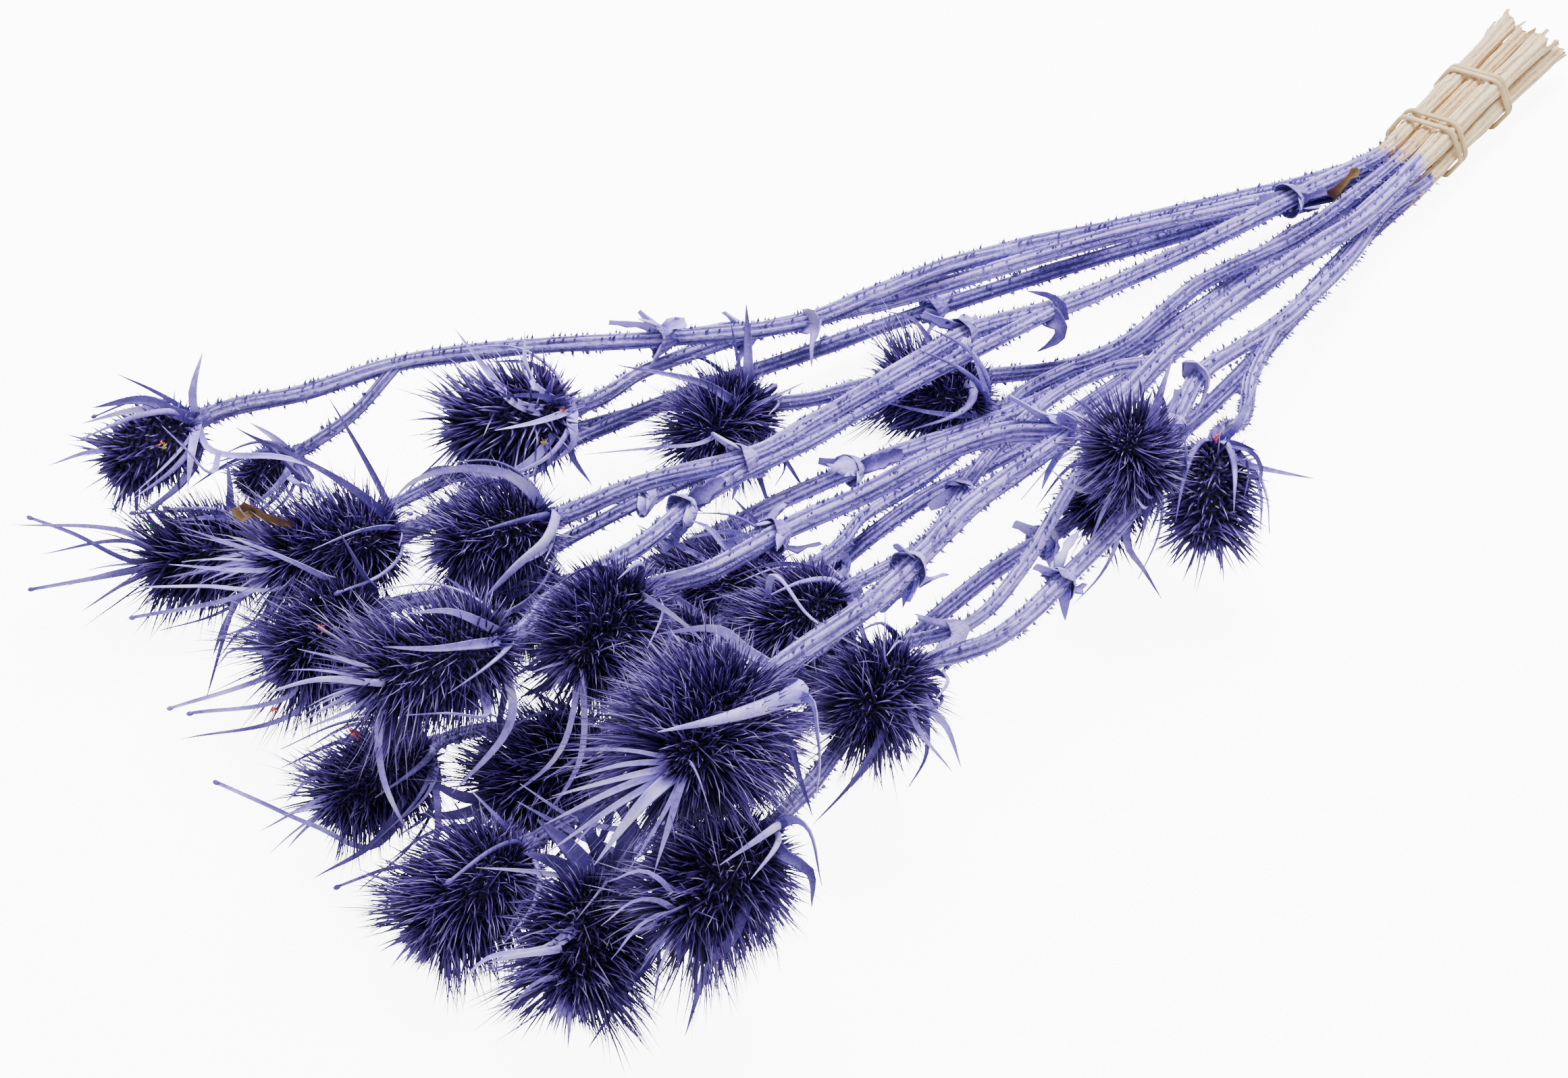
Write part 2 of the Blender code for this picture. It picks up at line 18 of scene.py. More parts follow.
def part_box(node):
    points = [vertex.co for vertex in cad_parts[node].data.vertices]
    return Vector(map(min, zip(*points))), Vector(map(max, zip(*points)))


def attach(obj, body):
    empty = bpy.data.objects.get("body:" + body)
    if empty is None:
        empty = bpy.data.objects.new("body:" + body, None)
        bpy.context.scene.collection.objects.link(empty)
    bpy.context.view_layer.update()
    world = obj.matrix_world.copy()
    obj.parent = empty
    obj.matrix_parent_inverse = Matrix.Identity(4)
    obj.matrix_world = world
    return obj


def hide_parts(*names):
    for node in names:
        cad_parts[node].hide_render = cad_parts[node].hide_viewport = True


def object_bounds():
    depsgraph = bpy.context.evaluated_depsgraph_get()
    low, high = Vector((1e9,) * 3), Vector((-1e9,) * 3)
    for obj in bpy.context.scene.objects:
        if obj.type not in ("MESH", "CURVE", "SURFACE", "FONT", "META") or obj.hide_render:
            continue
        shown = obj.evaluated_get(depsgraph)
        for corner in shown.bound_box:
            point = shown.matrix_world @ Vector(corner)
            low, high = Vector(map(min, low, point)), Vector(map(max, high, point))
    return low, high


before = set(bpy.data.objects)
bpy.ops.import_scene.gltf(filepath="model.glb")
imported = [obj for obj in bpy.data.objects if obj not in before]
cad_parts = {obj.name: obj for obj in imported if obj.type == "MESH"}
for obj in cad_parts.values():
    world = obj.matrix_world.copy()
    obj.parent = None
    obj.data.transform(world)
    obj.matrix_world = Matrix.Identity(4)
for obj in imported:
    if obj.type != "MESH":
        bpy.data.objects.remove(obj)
CAD_BOX = [list(corner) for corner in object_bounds()]

# ---------------------------------------------------------------- layout (mm)

MM = 0.001
RINGS = 30.0            # distance between a stem's rings
SKEW = math.radians(12.5)  # the tied part points this far off +X
CUT = -79.0             # cut ends, measured along the tied part
BANDS = {"band_cut_side": -38.0, "band_fan_side": 0.0}
FAN = 22.0              # the stems part company here

# Slot of each stem in the tie (across, up), its radius there and its cut end.
SLOTS = {
    "A": (-10.6, 11.0, 3.0, -3), "B": (-3.6, 11.2, 2.9, 4),
    "C": (-7.2, 4.9, 2.9, 0), "D": (-7.0, 17.2, 3.2, -5),
    "E": (7.2, 17.6, 3.6, 3), "F": (0.0, 4.9, 2.9, -2),
    "G": (3.5, 11.2, 2.9, 2), "H": (10.7, 11.0, 3.1, -6),
    "J": (0.0, 17.4, 2.9, 1), "L": (7.3, 4.9, 2.9, 5),
}

# Head: centre, yaw and pitch of its tip, length and width over the awns.
HEADS = {
    "A1": ((478, -128, 52), -18, -19, 34, 26),
    "A2": ((441, -121, 26), -21, -24, 20, 16),
    "B1": ((376, -77, 38), -36, -9, 42, 33),
    "C1": ((462, -60, 43), -21, 0, 47, 32),
    "C2": ((474, -111, 16), -29, 1, 40, 29),
    "D1": ((431, -16, 58), -15, 2, 38, 31),
    "D2": ((484, 20, 62), -18, -2, 50, 33),
    "E1": ((436, 41, 58), 20, 3, 42, 35),
    "E2": ((456, 109, 75), 26, 13, 50, 44),
    "E3": ((368, 70, 18), -6, -14, 24, 20),
    "E4": ((378, 61, 41), -14, -14, 36, 30),
    "F1": ((412, 43, 29), -6, -28, 38, 32),
    "F2": ((462, 42, 19), -9, -11, 42, 34),
    "F3": ((499, 8, 17), -5, -7, 40, 30),
    "G1": ((429, -12, 30), -27, -18, 36, 29),
    "G2": ((374, 22, 29), -37, -7, 42, 32),
    "H1": ((383, 103, 42), 17, 12, 36, 31),
    "H2": ((236, 103, 34), 38, -27, 38, 29),
    "H3": ((256, 86, 56), 6, 61, 32, 29),
    "H4": ((245, 68, 20), -2, -45, 32, 27),
    "J1": ((318, -37, 27), 21, 16, 38, 33),
    "J2": ((246, -14, 18), -54, 13, 40, 33),
    "J3": ((481, -38, 31), -1, -3, 40, 32),
    "L1": ((474, 131, 46), 8, -10, 44, 37),
    "L2": ((499, 105, 19), 33, -14, 42, 36),
    "L3": ((511, 66, 19), -2, -17, 44, 37),
}

# Route of each stem from the fan to its first head, then of each branch:
# (fork as route and point, or None), radius at the head, points, head.
ROUTES = {
    "A1": (None, 2.0, [(98, -22.5, 17.5), (202, -49, 29), (266, -55, 34), (307, -71, 40),
                       (344, -91, 45), (388, -115, 47), (419, -123, 47)]),
    "A2": (("A1", 5), 1.6, [(410, -112, 39)]),
    "B1": (None, 1.9, [(70, -9, 16), (146, -26, 26), (228, -55, 23), (274, -67, 28),
                       (318, -72, 32)]),
    "C1": (None, 1.9, [(60, -12, 7), (120, -22, 15), (197, -53, 8), (254, -62, 12), (319, -71, 17),
                       (348, -74, 18), (386, -75, 20)]),
    "C2": (("C1", 4), 1.6, [(370, -86, 17), (421, -87, 20)]),
    "D1": (None, 2.2, [(75, 2, 25), (129, -5, 22), (189, -7, 28), (226, -12, 34), (261, -9, 38),
                       (306, -5, 42), (335, -2, 46), (375, -10, 52)]),
    "D2": (("D1", 2), 2.2, [(247, -4, 35), (283, -5, 36), (311, -1, 40), (343, 1, 45), (367, 5, 49),
                            (394, 13, 53), (434, 18, 58)]),
    "E1": (None, 2.4, [(61, 21, 19), (137, 31, 28), (192, 41, 33), (225, 52, 38), (247, 55, 42),
                       (266, 43, 44), (291, 38, 46), (328, 38, 49), (357, 37, 52), (390, 38, 55)]),
    "E2": (("E1", 4), 2.6, [(281, 62, 48), (311, 69, 54), (345, 81, 60), (376, 91, 66)]),
    "E3": (("E1", 3), 1.8, [(250, 64, 40), (276, 75, 38), (301, 83, 32), (328, 87, 28)]),
    "E4": (("E1", 2), 1.9, [(204, 30, 30), (226, 27, 29), (255, 32, 30), (283, 42, 32),
                            (315, 55, 33), (344, 53, 32)]),
    "F1": (None, 1.9, [(73, -2, 4), (167, 14, 4), (206, 20, 8), (234, 22, 10), (263, 22, 12),
                       (287, 22, 13), (318, 23, 10), (340, 33, 14), (357, 41, 21)]),
    "F2": (("F1", 8), 1.6, [(398, 29, 4), (431, 31, 8)]),
    "F3": (("F2", 1), 1.6, [(440, 12, 6)]),
    "G1": (None, 1.9, [(88, 6, 9), (143, 12, 11), (194, 8, 8), (239, 10, 15), (259, 7, 17),
                       (292, 4, 22), (325, 3, 26), (357, 2, 28), (387, -2, 27)]),
    "G2": (("G1", 3), 1.7, [(273, 16, 15), (306, 19, 18)]),
    "H1": (None, 2.1, [(44, 17, 11), (81, 30, 14), (139, 47, 24), (188, 56, 34), (216, 70, 38),
                       (253, 88, 37), (295, 98, 36), (336, 106, 39)]),
    "H2": (("H1", 2), 1.8, [(172, 64, 28), (194, 80, 32)]),
    "H3": (("H1", 4), 1.8, [(236, 82, 38)]),
    "H4": (("H1", 4), 1.6, []),
    "J1": (None, 2.0, [(90, 13, 19), (130, 6, 16), (175, 11, 15), (194, 6, 13), (211, -13, 7),
                       (230, -30, 6), (253, -35, 12), (279, -35, 20)]),
    "J2": (("J1", 3), 1.8, [(214, 5, 14)]),
    "J3": (("J1", 6), 1.8, [(292, -23, 21), (328, -18, 31), (359, -22, 32), (394, -22, 34),
                            (428, -30, 28)]),
    "L1": (None, 2.0, [(70, 20, 4), (145, 42, 7), (208, 53, 7), (260, 59, 8), (296, 66, 17),
                       (334, 67, 11), (376, 90, 25), (408, 106, 31)]),
    "L2": (("L1", 6), 1.8, [(384, 76, 17), (427, 79, 12)]),
    "L3": (("L2", 0), 1.8, [(406, 64, 10), (446, 61, 14)]),
}
SEAT = 0.5              # a head's foot stands this far off the end of its stem
FORK_SWELL = 1.12       # a branch is this much stouter where it forks off
FULL_STOUT = 0.15       # share of a stem that keeps its full thickness


def tie_point(across, up, along):
    """A point in the tied part, from its place across, up and along it."""
    c, s = math.cos(SKEW), math.sin(SKEW)
    return np.array([along * c - across * s, along * s + across * c, up])


def direction(yaw, pitch):
    """The unit vector at a heading from +X and a rise, both in degrees."""
    yaw, pitch = math.radians(yaw), math.radians(pitch)
    level = math.cos(pitch)
    return np.array([level * math.cos(yaw), level * math.sin(yaw), math.sin(pitch)])


def unit(way):
    """The same way, one long."""
    return way / np.linalg.norm(way)


def any_turn(rng):
    """A draw from about a full turn, in radians."""
    return rng.uniform(0, 6.28)


def distances(line):
    """How far along a line each of its points is."""
    return np.concatenate([[0], np.cumsum(np.linalg.norm(np.diff(line, axis=0), axis=1))])


def waypoints(name):
    """All the points that a stem or branch is led through, foot to head."""
    fork, _, points = ROUTES[name]
    if fork:
        parent, index = fork
        before = 1 if ROUTES[parent][0] else 4      # points ahead of its table's first
        start = [waypoints(parent)[before + index]]
    else:
        across, up, _, cut = SLOTS[name[0]]
        splayed = ((CUT + cut, 1.13), (BANDS["band_cut_side"], 1.0), (0.0, 1.0), (FAN, 1.02))
        start = [tie_point(across * splay, up, along) for along, splay in splayed]
    centre, yaw, pitch, length, _ = HEADS[name]
    foot = np.array(centre) - direction(yaw, pitch) * (length / 2 + SEAT)
    return start + [np.array(p, float) for p in points] + [foot]


def led_through(points, spacing, end=None):
    """A smooth line through points, with a point about every spacing."""
    points = [np.asarray(p, float) for p in points]
    last = len(points) - 1
    ways = []
    for i in range(len(points)):
        way = points[min(i + 1, last)] - points[max(i - 1, 0)]
        if i == last and end is not None:
            way = np.asarray(end)
        ways.append(unit(way))
    line = []
    for i in range(last):
        p, q = points[i], points[i + 1]
        run = np.linalg.norm(q - p)
        steps = max(1, round(run / spacing))
        for k in range(steps):
            t = k / steps
            line.append((2 * t**3 - 3 * t**2 + 1) * p + (t**3 - 2 * t**2 + t) * run * ways[i]
                        + (3 * t**2 - 2 * t**3) * q + (t**3 - t**2) * run * ways[i + 1])
    return np.array(line + [points[-1]])


def stem_radii(name, line):
    """Thick in the tie, thinner towards the head."""
    run = distances(line)
    run /= run[-1]
    tip = ROUTES[name][1]
    if ROUTES[name][0]:
        return tip * (FORK_SWELL - (FORK_SWELL - 1) * run)
    root = SLOTS[name[0]][2]
    return root + (tip - root) * np.clip((run - FULL_STOUT) / (1 - FULL_STOUT), 0, 1)


AWN = 0.16              # length of an awn, as a share of the head's width
CLEAR = 0.45            # kept between one piece and the next
BRACTS = 5              # long narrow leaves round the foot of a head
SPACING = 3.0           # between the points of a leaf's or a bract's line
BRACT_SUNK = 1.6        # a bract's root is this far down its stem

# Leaf cups: (route, point, length of its two torn leaf bases).
CUPS = [
    ("A1", 4, 0), ("A1", 7, 10), ("B1", 7, 12), ("C1", 6, 18), ("D1", 4, 9), ("D1", 7, 14),
    ("D1", 10, 12), ("D2", 5, 8), ("E1", 4, 8), ("E1", 8, 22), ("E1", 12, 16),
    ("E2", 3, 10), ("E3", 4, 14), ("E4", 4, 10), ("E4", 6, 20), ("F1", 10, 14), ("G1", 9, 10),
    ("H1", 4, 7), ("H1", 8, 24), ("H1", 10, 10), ("J1", 6, 12), ("J3", 3, 9), ("L1", 7, 10),
    ("L1", 10, 10),
]


class Crowd:
    """Every stem, head and leaf as a chain of capsules, to keep new ones clear."""

    def __init__(self):
        self.owner, self.a, self.b, self.r = [], [], [], []

    def add(self, owner, points, radii):
        for i in range(len(points) - 1):
            self.owner.append(owner)
            self.a.append(points[i])
            self.b.append(points[i + 1])
            self.r.append((radii[i], radii[i + 1]))

    def room(self, points, leave_out=(), only=None):
        """For each point, its distance to the nearest surface in the crowd."""
        keep = [i for i, o in enumerate(self.owner)
                if o not in leave_out and (only is None or only(o))]
        if not keep:
            return np.full(len(points), 1e3)
        a, b, r = (np.array([x[i] for i in keep]) for x in (self.a, self.b, self.r))
        d = b - a
        q = np.asarray(points)[:, None] - a
        t = np.clip((q * d).sum(2) / np.maximum((d * d).sum(1), 1e-9), 0, 1)
        far = np.linalg.norm(q - t[..., None] * d, axis=2)
        return (far - r[:, 0] - (r[:, 1] - r[:, 0]) * t).min(1)


crowd = Crowd()


def frame_along(way):
    """A rotation whose Z is way and whose X is as upright as can be."""
    z = Vector(way).normalized()
    up = Vector((0, 0, 1))
    x = up - z * up.dot(z)
    if x.length < 1e-3:
        x = Vector((1, 0, 0)) - z * z.x
    x.normalize()
    return Matrix((x, z.cross(x), z)).transposed()


def round_about(way, turn):
    """A unit vector square to way, turned round it."""
    m = frame_along(way)
    return np.array(m @ Vector((math.cos(turn), math.sin(turn), 0)))


def head_core(name):
    """A core's middle, axis and radius, and its two ends along the axis."""
    centre, yaw, pitch, length, width = HEADS[name]
    axis = direction(yaw, pitch)
    awn = AWN * width
    radius = width / 2 - 0.9 * awn
    return np.array(centre, float), axis, radius, -length / 2, length / 2 - awn


def head_capsule(name):
    """The capsule that stands for a head's core in the crowd."""
    centre, axis, radius, foot, tip = head_core(name)
    ends = [centre + axis * (foot + 0.9 * radius), centre + axis * (tip - radius)]
    return ends, [radius, radius]


def bract_lines(name):
    """Centre lines of the bracts round a head's foot, clear of all else."""
    rng = random.Random("bract" + name)
    centre, axis, _, foot, _ = head_core(name)
    length, width = HEADS[name][3:]
    root = centre + axis * (foot - SEAT)
    tries = [(turn, spread, share) for share in (1, 0.8, 0.6) for spread in (1.0, 1.25, 0.85)
             for turn in (0, 0.35, -0.35)]
    s = np.array([0, 0.3, 0.65, 1.0])[:, None]
    lines = []
    start = any_turn(rng)
    for k in range(BRACTS):
        size = length * rng.uniform(0.85, 1.3)
        for turn, spread, share in tries:
            out = round_about(axis, start + (k + turn) * 2 * math.pi / BRACTS)
            aside = (width / 2 + 5) * spread * (1 - (1 - s) ** 1.9) * min(1, share + 0.2)
            line = root + axis * (-BRACT_SUNK + 0.85 * size * share * s ** 1.7) + out * aside
            fine = led_through(line, SPACING)
            own = crowd.room(fine[3:], only=lambda o: o == "head_" + name)
            rest = crowd.room(fine, leave_out=("head_" + name, "stem_" + name[0]))
            if (rest > 1.6).all() and (own > 1.8).all() and (fine[:, 2] > 0.9).all():
                lines.append(line)
                crowd.add("stem_" + name[0], line, [0.95, 0.95, 0.85, 0.65])
                break
    return lines


def place_cups(lines):
    """The leaf cups that have room, each with its two torn leaf bases."""
    cups = []
    for name, index, torn in CUPS:
        line, radii = lines[name]
        at = waypoints(name)[index]
        i = int(np.argmin(np.linalg.norm(line - at, axis=1)))
        way = unit(line[min(i + 1, len(line) - 1)] - line[max(i - 1, 0)])
        mine = "stem_" + name[0]
        top = at + way * 6.0
        room = min(crowd.room([at, at + way * 3, top], leave_out=(mine,)))
        high = min(radii[i] + 2.8, room - CLEAR - 0.3)
        if high < radii[i] + 0.9:
            continue
        flaps = []
        rng = random.Random("cup" + name + str(index))
        first = rng.uniform(0, 3.14)
        s = np.array([0, 0.5, 1.0])[:, None]
        aside = radii[i] + 0.4 + (high - radii[i]) * s ** 0.5 + torn * 0.45 * s ** 1.6
        for side in (0, 1) if torn else ():
            for turn in (0, 0.5, -0.5, 1.0, -1.0, 1.5):
                out = round_about(way, first + side * math.pi + turn)
                flap = at + way * (3.5 + torn * 0.75 * s) + out * aside
                clear = crowd.room(led_through(flap, 2.0), leave_out=(mine,))
                if min(clear) > 2.2 and flap[:, 2].min() > 1.2:
                    flaps.append(flap)
                    crowd.add(mine, flap, [2.0, 1.7, 0.8])
                    break
        crowd.add(mine, [at, top], [radii[i] + 0.3, high])
        cups.append((name, at, way, radii[i], high, flaps))
    return cups


# ------------------------------------------------------- onto the solids

BAND_THICK = 1.5        # off the stems
BAND_WIDE = 2.3         # along them
BAND_SLACK = 0.35       # between a band and the stems it holds
BAND_POINTS = 22        # in a turn of the solids' bands


def round_the_tie(turn, along, lift=0.0):
    """The point at a turn round the ten stems, on a band drawn tight."""
    across, up = math.cos(turn - math.pi / 2), math.sin(turn - math.pi / 2)
    y, z, r = max(((y, z, r) for y, z, r, _ in SLOTS.values()),
                  key=lambda slot: slot[0] * across + slot[1] * up + slot[2])
    reach = r + BAND_THICK / 2 + BAND_SLACK + lift
    return tie_point(y + across * reach, z + up * reach, along)


def band_line(along):
    """Two turns round the ten stems, side by side, crossed on top."""
    line = []
    for i in range(2 * BAND_POINTS):
        turn = 2 * math.pi * i / BAND_POINTS
        over = max(0.0, math.cos(turn / 2 - math.pi * 0.5)) if i < BAND_POINTS else 0.0
        line.append(round_the_tie(turn, along + 1.25 * math.cos(turn / 2), lift=1.75 * over ** 6))
    return np.array(line)


def middle(points):
    """The middle of the box round some points."""
    points = np.array(points)
    return (points.min(0) + points.max(0)) / 2


# From the layout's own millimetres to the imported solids'.
SHIFT = middle([list(corner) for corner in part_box("band_fan_side")]) / MM \
    - middle(band_line(BANDS["band_fan_side"]))

# ------------------------------------------------------------- the view

FLOOR_GLOW = 9.0        # the photograph's ground is lit to white
AIM = (318.6, -5.4)     # mm, the point on the floor in the middle of the view
VIEW_HEADING = -133.0   # degrees from +X, the way the camera faces
VIEW_DOWN = 40.0        # degrees below the level
VIEW_DISTANCE = 1200.0  # mm from the eye to AIM
VIEW_LENS = 84.5        # mm, on a sensor SENSOR wide
SENSOR = 36.0
PHOTO = (2322, 1596)    # the photograph's width and height in pixels

FACING = direction(VIEW_HEADING, -VIEW_DOWN)
RIGHTWARD = np.cross(FACING, (0, 0, 1)) / math.cos(math.radians(VIEW_DOWN))
UPWARD = np.cross(RIGHTWARD, FACING)
EYE = np.array([*AIM, 0.0]) - FACING * VIEW_DISTANCE


def seen(name, x, y, near):
    """The place at a pixel of the photograph, near mm before a head's middle."""
    depth = (np.array(HEADS[name][0]) - EYE) @ FACING - near
    scale = PHOTO[0] * VIEW_LENS / SENSOR
    return EYE + depth * (FACING + RIGHTWARD * (x - PHOTO[0] / 2) / scale
                          - UPWARD * (y - PHOTO[1] / 2) / scale)


# --------------------------------------------------------- mesh helpers

SEAM = 1e-4             # mm, points this close along a seam become one


class Piece:
    """Gathers shapes in millimetres, with values that the finishes read."""

    VALUES = ("tip", "rib", "pick")

    def __init__(self):
        self.verts, self.faces, self.count = [], [], 0
        self.values = {v: [] for v in self.VALUES}
        self.maps = []

    def add(self, verts, faces, uv=None, **values):
        """A shape; uv is its place along the fibre and round it, in metres."""
        verts = np.asarray(verts, float)
        self.verts.append(verts)
        self.faces += [tuple(i + self.count for i in f) for f in faces]
        self.count += len(verts)
        for name in self.VALUES:
            value = np.asarray(values.get(name, 0.0), float)
            self.values[name].append(np.broadcast_to(value, len(verts)))
        self.maps.append(np.zeros((len(verts), 2)) if uv is None else uv)

    def make(self, name, finish, slot, node):
        """The piece as an object that stands for one node of the solids."""
        mesh = bpy.data.meshes.new(name)
        verts = (np.concatenate(self.verts) + SHIFT) * MM
        mesh.from_pydata(verts.tolist(), [], self.faces)
        for value, parts in self.values.items():
            mesh.attributes.new(value, "FLOAT", "POINT").data.foreach_set(
                "value", np.concatenate(parts).astype(np.float32))
        grain = np.zeros((len(verts), 3), np.float32)
        grain[:, :2] = np.concatenate(self.maps)
        mesh.attributes.new("grain", "FLOAT_VECTOR", "POINT").data.foreach_set(
            "vector", grain.ravel())
        mesh.update()
        mesh.shade_smooth()
        mesh.materials.append(finish)
        obj = bpy.data.objects.new(name, mesh)
        bpy.context.scene.collection.objects.link(obj)
        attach(obj, "root")
        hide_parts(node)


def taken(bm):
    """A bmesh's points and faces, for gathering; the bmesh is freed."""
    bm.verts.index_update()
    verts = np.array([v.co for v in bm.verts])
    faces = [tuple(v.index for v in f.verts) for f in bm.faces]
    bm.free()
    return verts, faces


def drawn_along(line, shape, around, near=(0, 0, 1)):
    """A grid wrapped round a line and closed at both ends.

    shape(u, v) gives a point off the line (out to the side, up) in mm, for u
    along the line and v round it, both 0 to 1.  Returns the points, faces and
    each point's u and v.
    """
    line = np.asarray(line, float)
    last = len(line) - 1
    ways = np.gradient(line, axis=0)
    ways /= np.linalg.norm(ways, axis=1)[:, None]
    side = np.array(near, float)
    sides = []
    for way in ways:                      # carried along without twisting
        side = side - way * (side @ way)
        if np.linalg.norm(side) < 1e-6:
            side = np.cross(way, (0, 1, 0.3))
        side = unit(side)
        sides.append(side)
    sides = np.array(sides)
    ups = np.cross(ways, sides)
    bm = bmesh.new()
    bmesh.ops.create_grid(bm, x_segments=around, y_segments=last, size=0.5)
    values = {}
    for vert in bm.verts:
        u, v = vert.co.y + 0.5, vert.co.x + 0.5
        i = round(u * last)
        a, b = shape(i / last, v % 1.0 if v < 0.999999 else 0.0)
        vert.co = Vector(line[i] + sides[i] * a + ups[i] * b)
        values[vert] = (i / last, v)
    bmesh.ops.remove_doubles(bm, verts=bm.verts, dist=SEAM)
    bmesh.ops.holes_fill(bm, edges=[e for e in bm.edges if e.is_boundary], sides=0)
    bmesh.ops.recalc_face_normals(bm, faces=bm.faces)
    uv = np.array([values[v] for v in bm.verts])
    return (*taken(bm), uv)


def sprig(sides, rows, stout):
    """A thin awn or prickle, one high and one thick at its root, for copying.

    stout is the share of its thickness that an awn keeps past its root.
    """
    bm = bmesh.new()
    bmesh.ops.create_cone(bm, cap_ends=True, segments=sides, radius1=1.0, radius2=0.0,
                          depth=1.0, matrix=Matrix.Translation((0, 0, 0.5)))
    for row in range(1, rows):
        bmesh.ops.bisect_plane(bm, geom=bm.verts[:] + bm.edges[:] + bm.faces[:], dist=1e-5,
                               plane_co=(0, 0, row / rows), plane_no=(0, 0, 1))
    for vert in bm.verts:
        full = 1.0 - vert.co.z
        if full > 1e-4:
            share = (stout + (1 - stout) * full ** 2.5) / full
            vert.co.x *= share
            vert.co.y *= share
    bmesh.ops.recalc_face_normals(bm, faces=bm.faces)
    return taken(bm)


def copied(piece, shape, places, pick):
    """Copies of a sprig on a piece, at places that placed() gives."""
    verts, faces = shape
    places = np.asarray(places, float)
    if not len(places):
        return
    out = np.einsum("nij,mj->nmi", places[:, :, :3], verts) + places[:, None, :, 3] \
        + verts[None, :, 2, None] ** 2 * places[:, None, :, 4]
    many, size = len(places), len(verts)
    spread = [tuple(i + k * size for i in f) for k in range(many) for f in faces]
    piece.add(out.reshape(-1, 3), spread, tip=np.tile(verts[:, 2].clip(0, 1), many),
              rib=0.5, pick=np.repeat(pick, size))


def placed(root, way, towards, length, width, drawn=(0, 0, 0)):
    """A sprig's place as a 3x5 matrix: its thickness towards one side and
    across, its length along way, its root, and how far its tip is drawn."""
    way = unit(way)
    bend = towards - way * (towards @ way)
    bend /= max(np.linalg.norm(bend), 1e-9)
    side = np.cross(way, bend)
    return np.column_stack([bend * width, side * width, way * length, root,
                            np.array(drawn) * length])


# ------------------------------------------------------------- finishes

# Stem colours: the grooves are painted darker and the crests paler, partly as painted shade and
# highlight and partly the bark's own streaks and dust.
STEM_GROOVE_SHADE = (0.036, 0.020, 0.160)
STEM_MID = (0.185, 0.125, 0.520)
STEM_CREST = (0.405, 0.300, 0.950)
STEM_DUST_AND_HIGHLIGHT = (0.640, 0.530, 1.000)
STRAW_GROOVE_SHADE = (0.46, 0.25, 0.09)
STRAW_MID = (0.93, 0.66, 0.36)
STRAW_CREST = (1.00, 0.88, 0.64)
# Dark prickle tips; the same dark also paints shade under the heads and inside the leaf cups.
PRICKLE_TIP_AND_SHADE = (0.018, 0.009, 0.075)
BRACT_DARK = (0.026, 0.012, 0.140)
BRACT_MID = (0.130, 0.080, 0.400)
# Near-black painted shade deep in a head, at the awns' roots and in the core.
AWN_ROOT_SHADE = (0.010, 0.003, 0.050)
AWN_MID = (0.045, 0.014, 0.188)
AWN_PALE = (0.142, 0.076, 0.415)
AWN_DUST = (0.450, 0.370, 0.790)
CORE_PIT_SHADE = (0.003, 0.001, 0.014)
RUBBER_CREASE = (0.34, 0.24, 0.11)
RUBBER_MID = (0.62, 0.46, 0.25)
RUBBER_PALE = (0.80, 0.65, 0.40)
# Bits of other colours caught in the bunch.
STRAYS = {
    "brown": (0.105, 0.047, 0.010), "red": (0.70, 0.05, 0.07), "orange": (0.70, 0.13, 0.02),
    "teal": (0.02, 0.22, 0.19), "yellow": (0.42, 0.33, 0.10),
}
FIBRE_SCALE = (85.0, 1800.0, 1.0)       # a stem's fibres, along it and round it
PITS = 380.0                            # pits in a core, to the metre


def new_finish(name, roughness):
    """A material with its tree and its shader, ready to be coloured."""
    finish = bpy.data.materials.new(name)
    finish.use_nodes = True
    tree = finish.node_tree
    bsdf = tree.nodes["Principled BSDF"]
    bsdf.inputs["Roughness"].default_value = roughness
    return finish, tree, bsdf


def feed(tree, socket, value):
    """A value for a socket, linked if it comes from another node."""
    if isinstance(value, bpy.types.NodeSocket):
        tree.links.new(value, socket)
    else:
        socket.default_value = value


def joined(tree, kind, inputs=(), **settings):
    """A node with its settings and its inputs set or linked."""
    node = tree.nodes.new(kind)
    for name, value in settings.items():
        setattr(node, name, value)
    for name, value in dict(inputs).items():
        feed(tree, node.inputs[name], value)
    return node


def ramp(tree, factor, stops, steps="LINEAR"):
    """The colour at a factor, between stops of (place, colour)."""
    node = joined(tree, "ShaderNodeValToRGB", {"Fac": factor})
    bar = node.color_ramp
    bar.interpolation = steps
    while len(bar.elements) < len(stops):
        bar.elements.new(0.5)
    for element, (at, colour) in zip(bar.elements, stops):
        element.position = at
        element.color = (*colour, 1)
    return node.outputs["Color"]


def math_node(tree, operation, *values, clamp=False):
    node = joined(tree, "ShaderNodeMath", operation=operation, use_clamp=clamp)
    for socket, value in zip(node.inputs, values):
        feed(tree, socket, value)
    return node.outputs[0]


def nudged(tree, base, value, times, plus):
    """base with value * times + plus on top, kept within 0 to 1."""
    more = math_node(tree, "MULTIPLY_ADD", value, times, plus)
    return math_node(tree, "ADD", base, more, clamp=True)


def ranged(tree, value, low, high, first=0.0, last=1.0):
    """first where value is low, last where it is high, held beyond both."""
    return joined(tree, "ShaderNodeMapRange", {
        "Value": value, "From Min": low, "From Max": high,
        "To Min": first, "To Max": last}).outputs["Result"]


def mixed(tree, factor, one, two):
    """Colour one, or two where the factor is 1."""
    node = joined(tree, "ShaderNodeMix", data_type="RGBA")
    one, two = (c if isinstance(c, bpy.types.NodeSocket) else (*c, 1) for c in (one, two))
    for index, value in ((0, factor), (6, one), (7, two)):
        feed(tree, node.inputs[index], value)
    return node.outputs[2]


def noise(tree, here, scale, detail, roughness=0.5):
    return joined(tree, "ShaderNodeTexNoise", {
        "Vector": here, "Scale": scale, "Detail": detail, "Roughness": roughness}).outputs["Fac"]


def value_of(tree, name, output="Fac"):
    """One of the values that a piece carries at its points."""
    return joined(tree, "ShaderNodeAttribute", attribute_name=name).outputs[output]


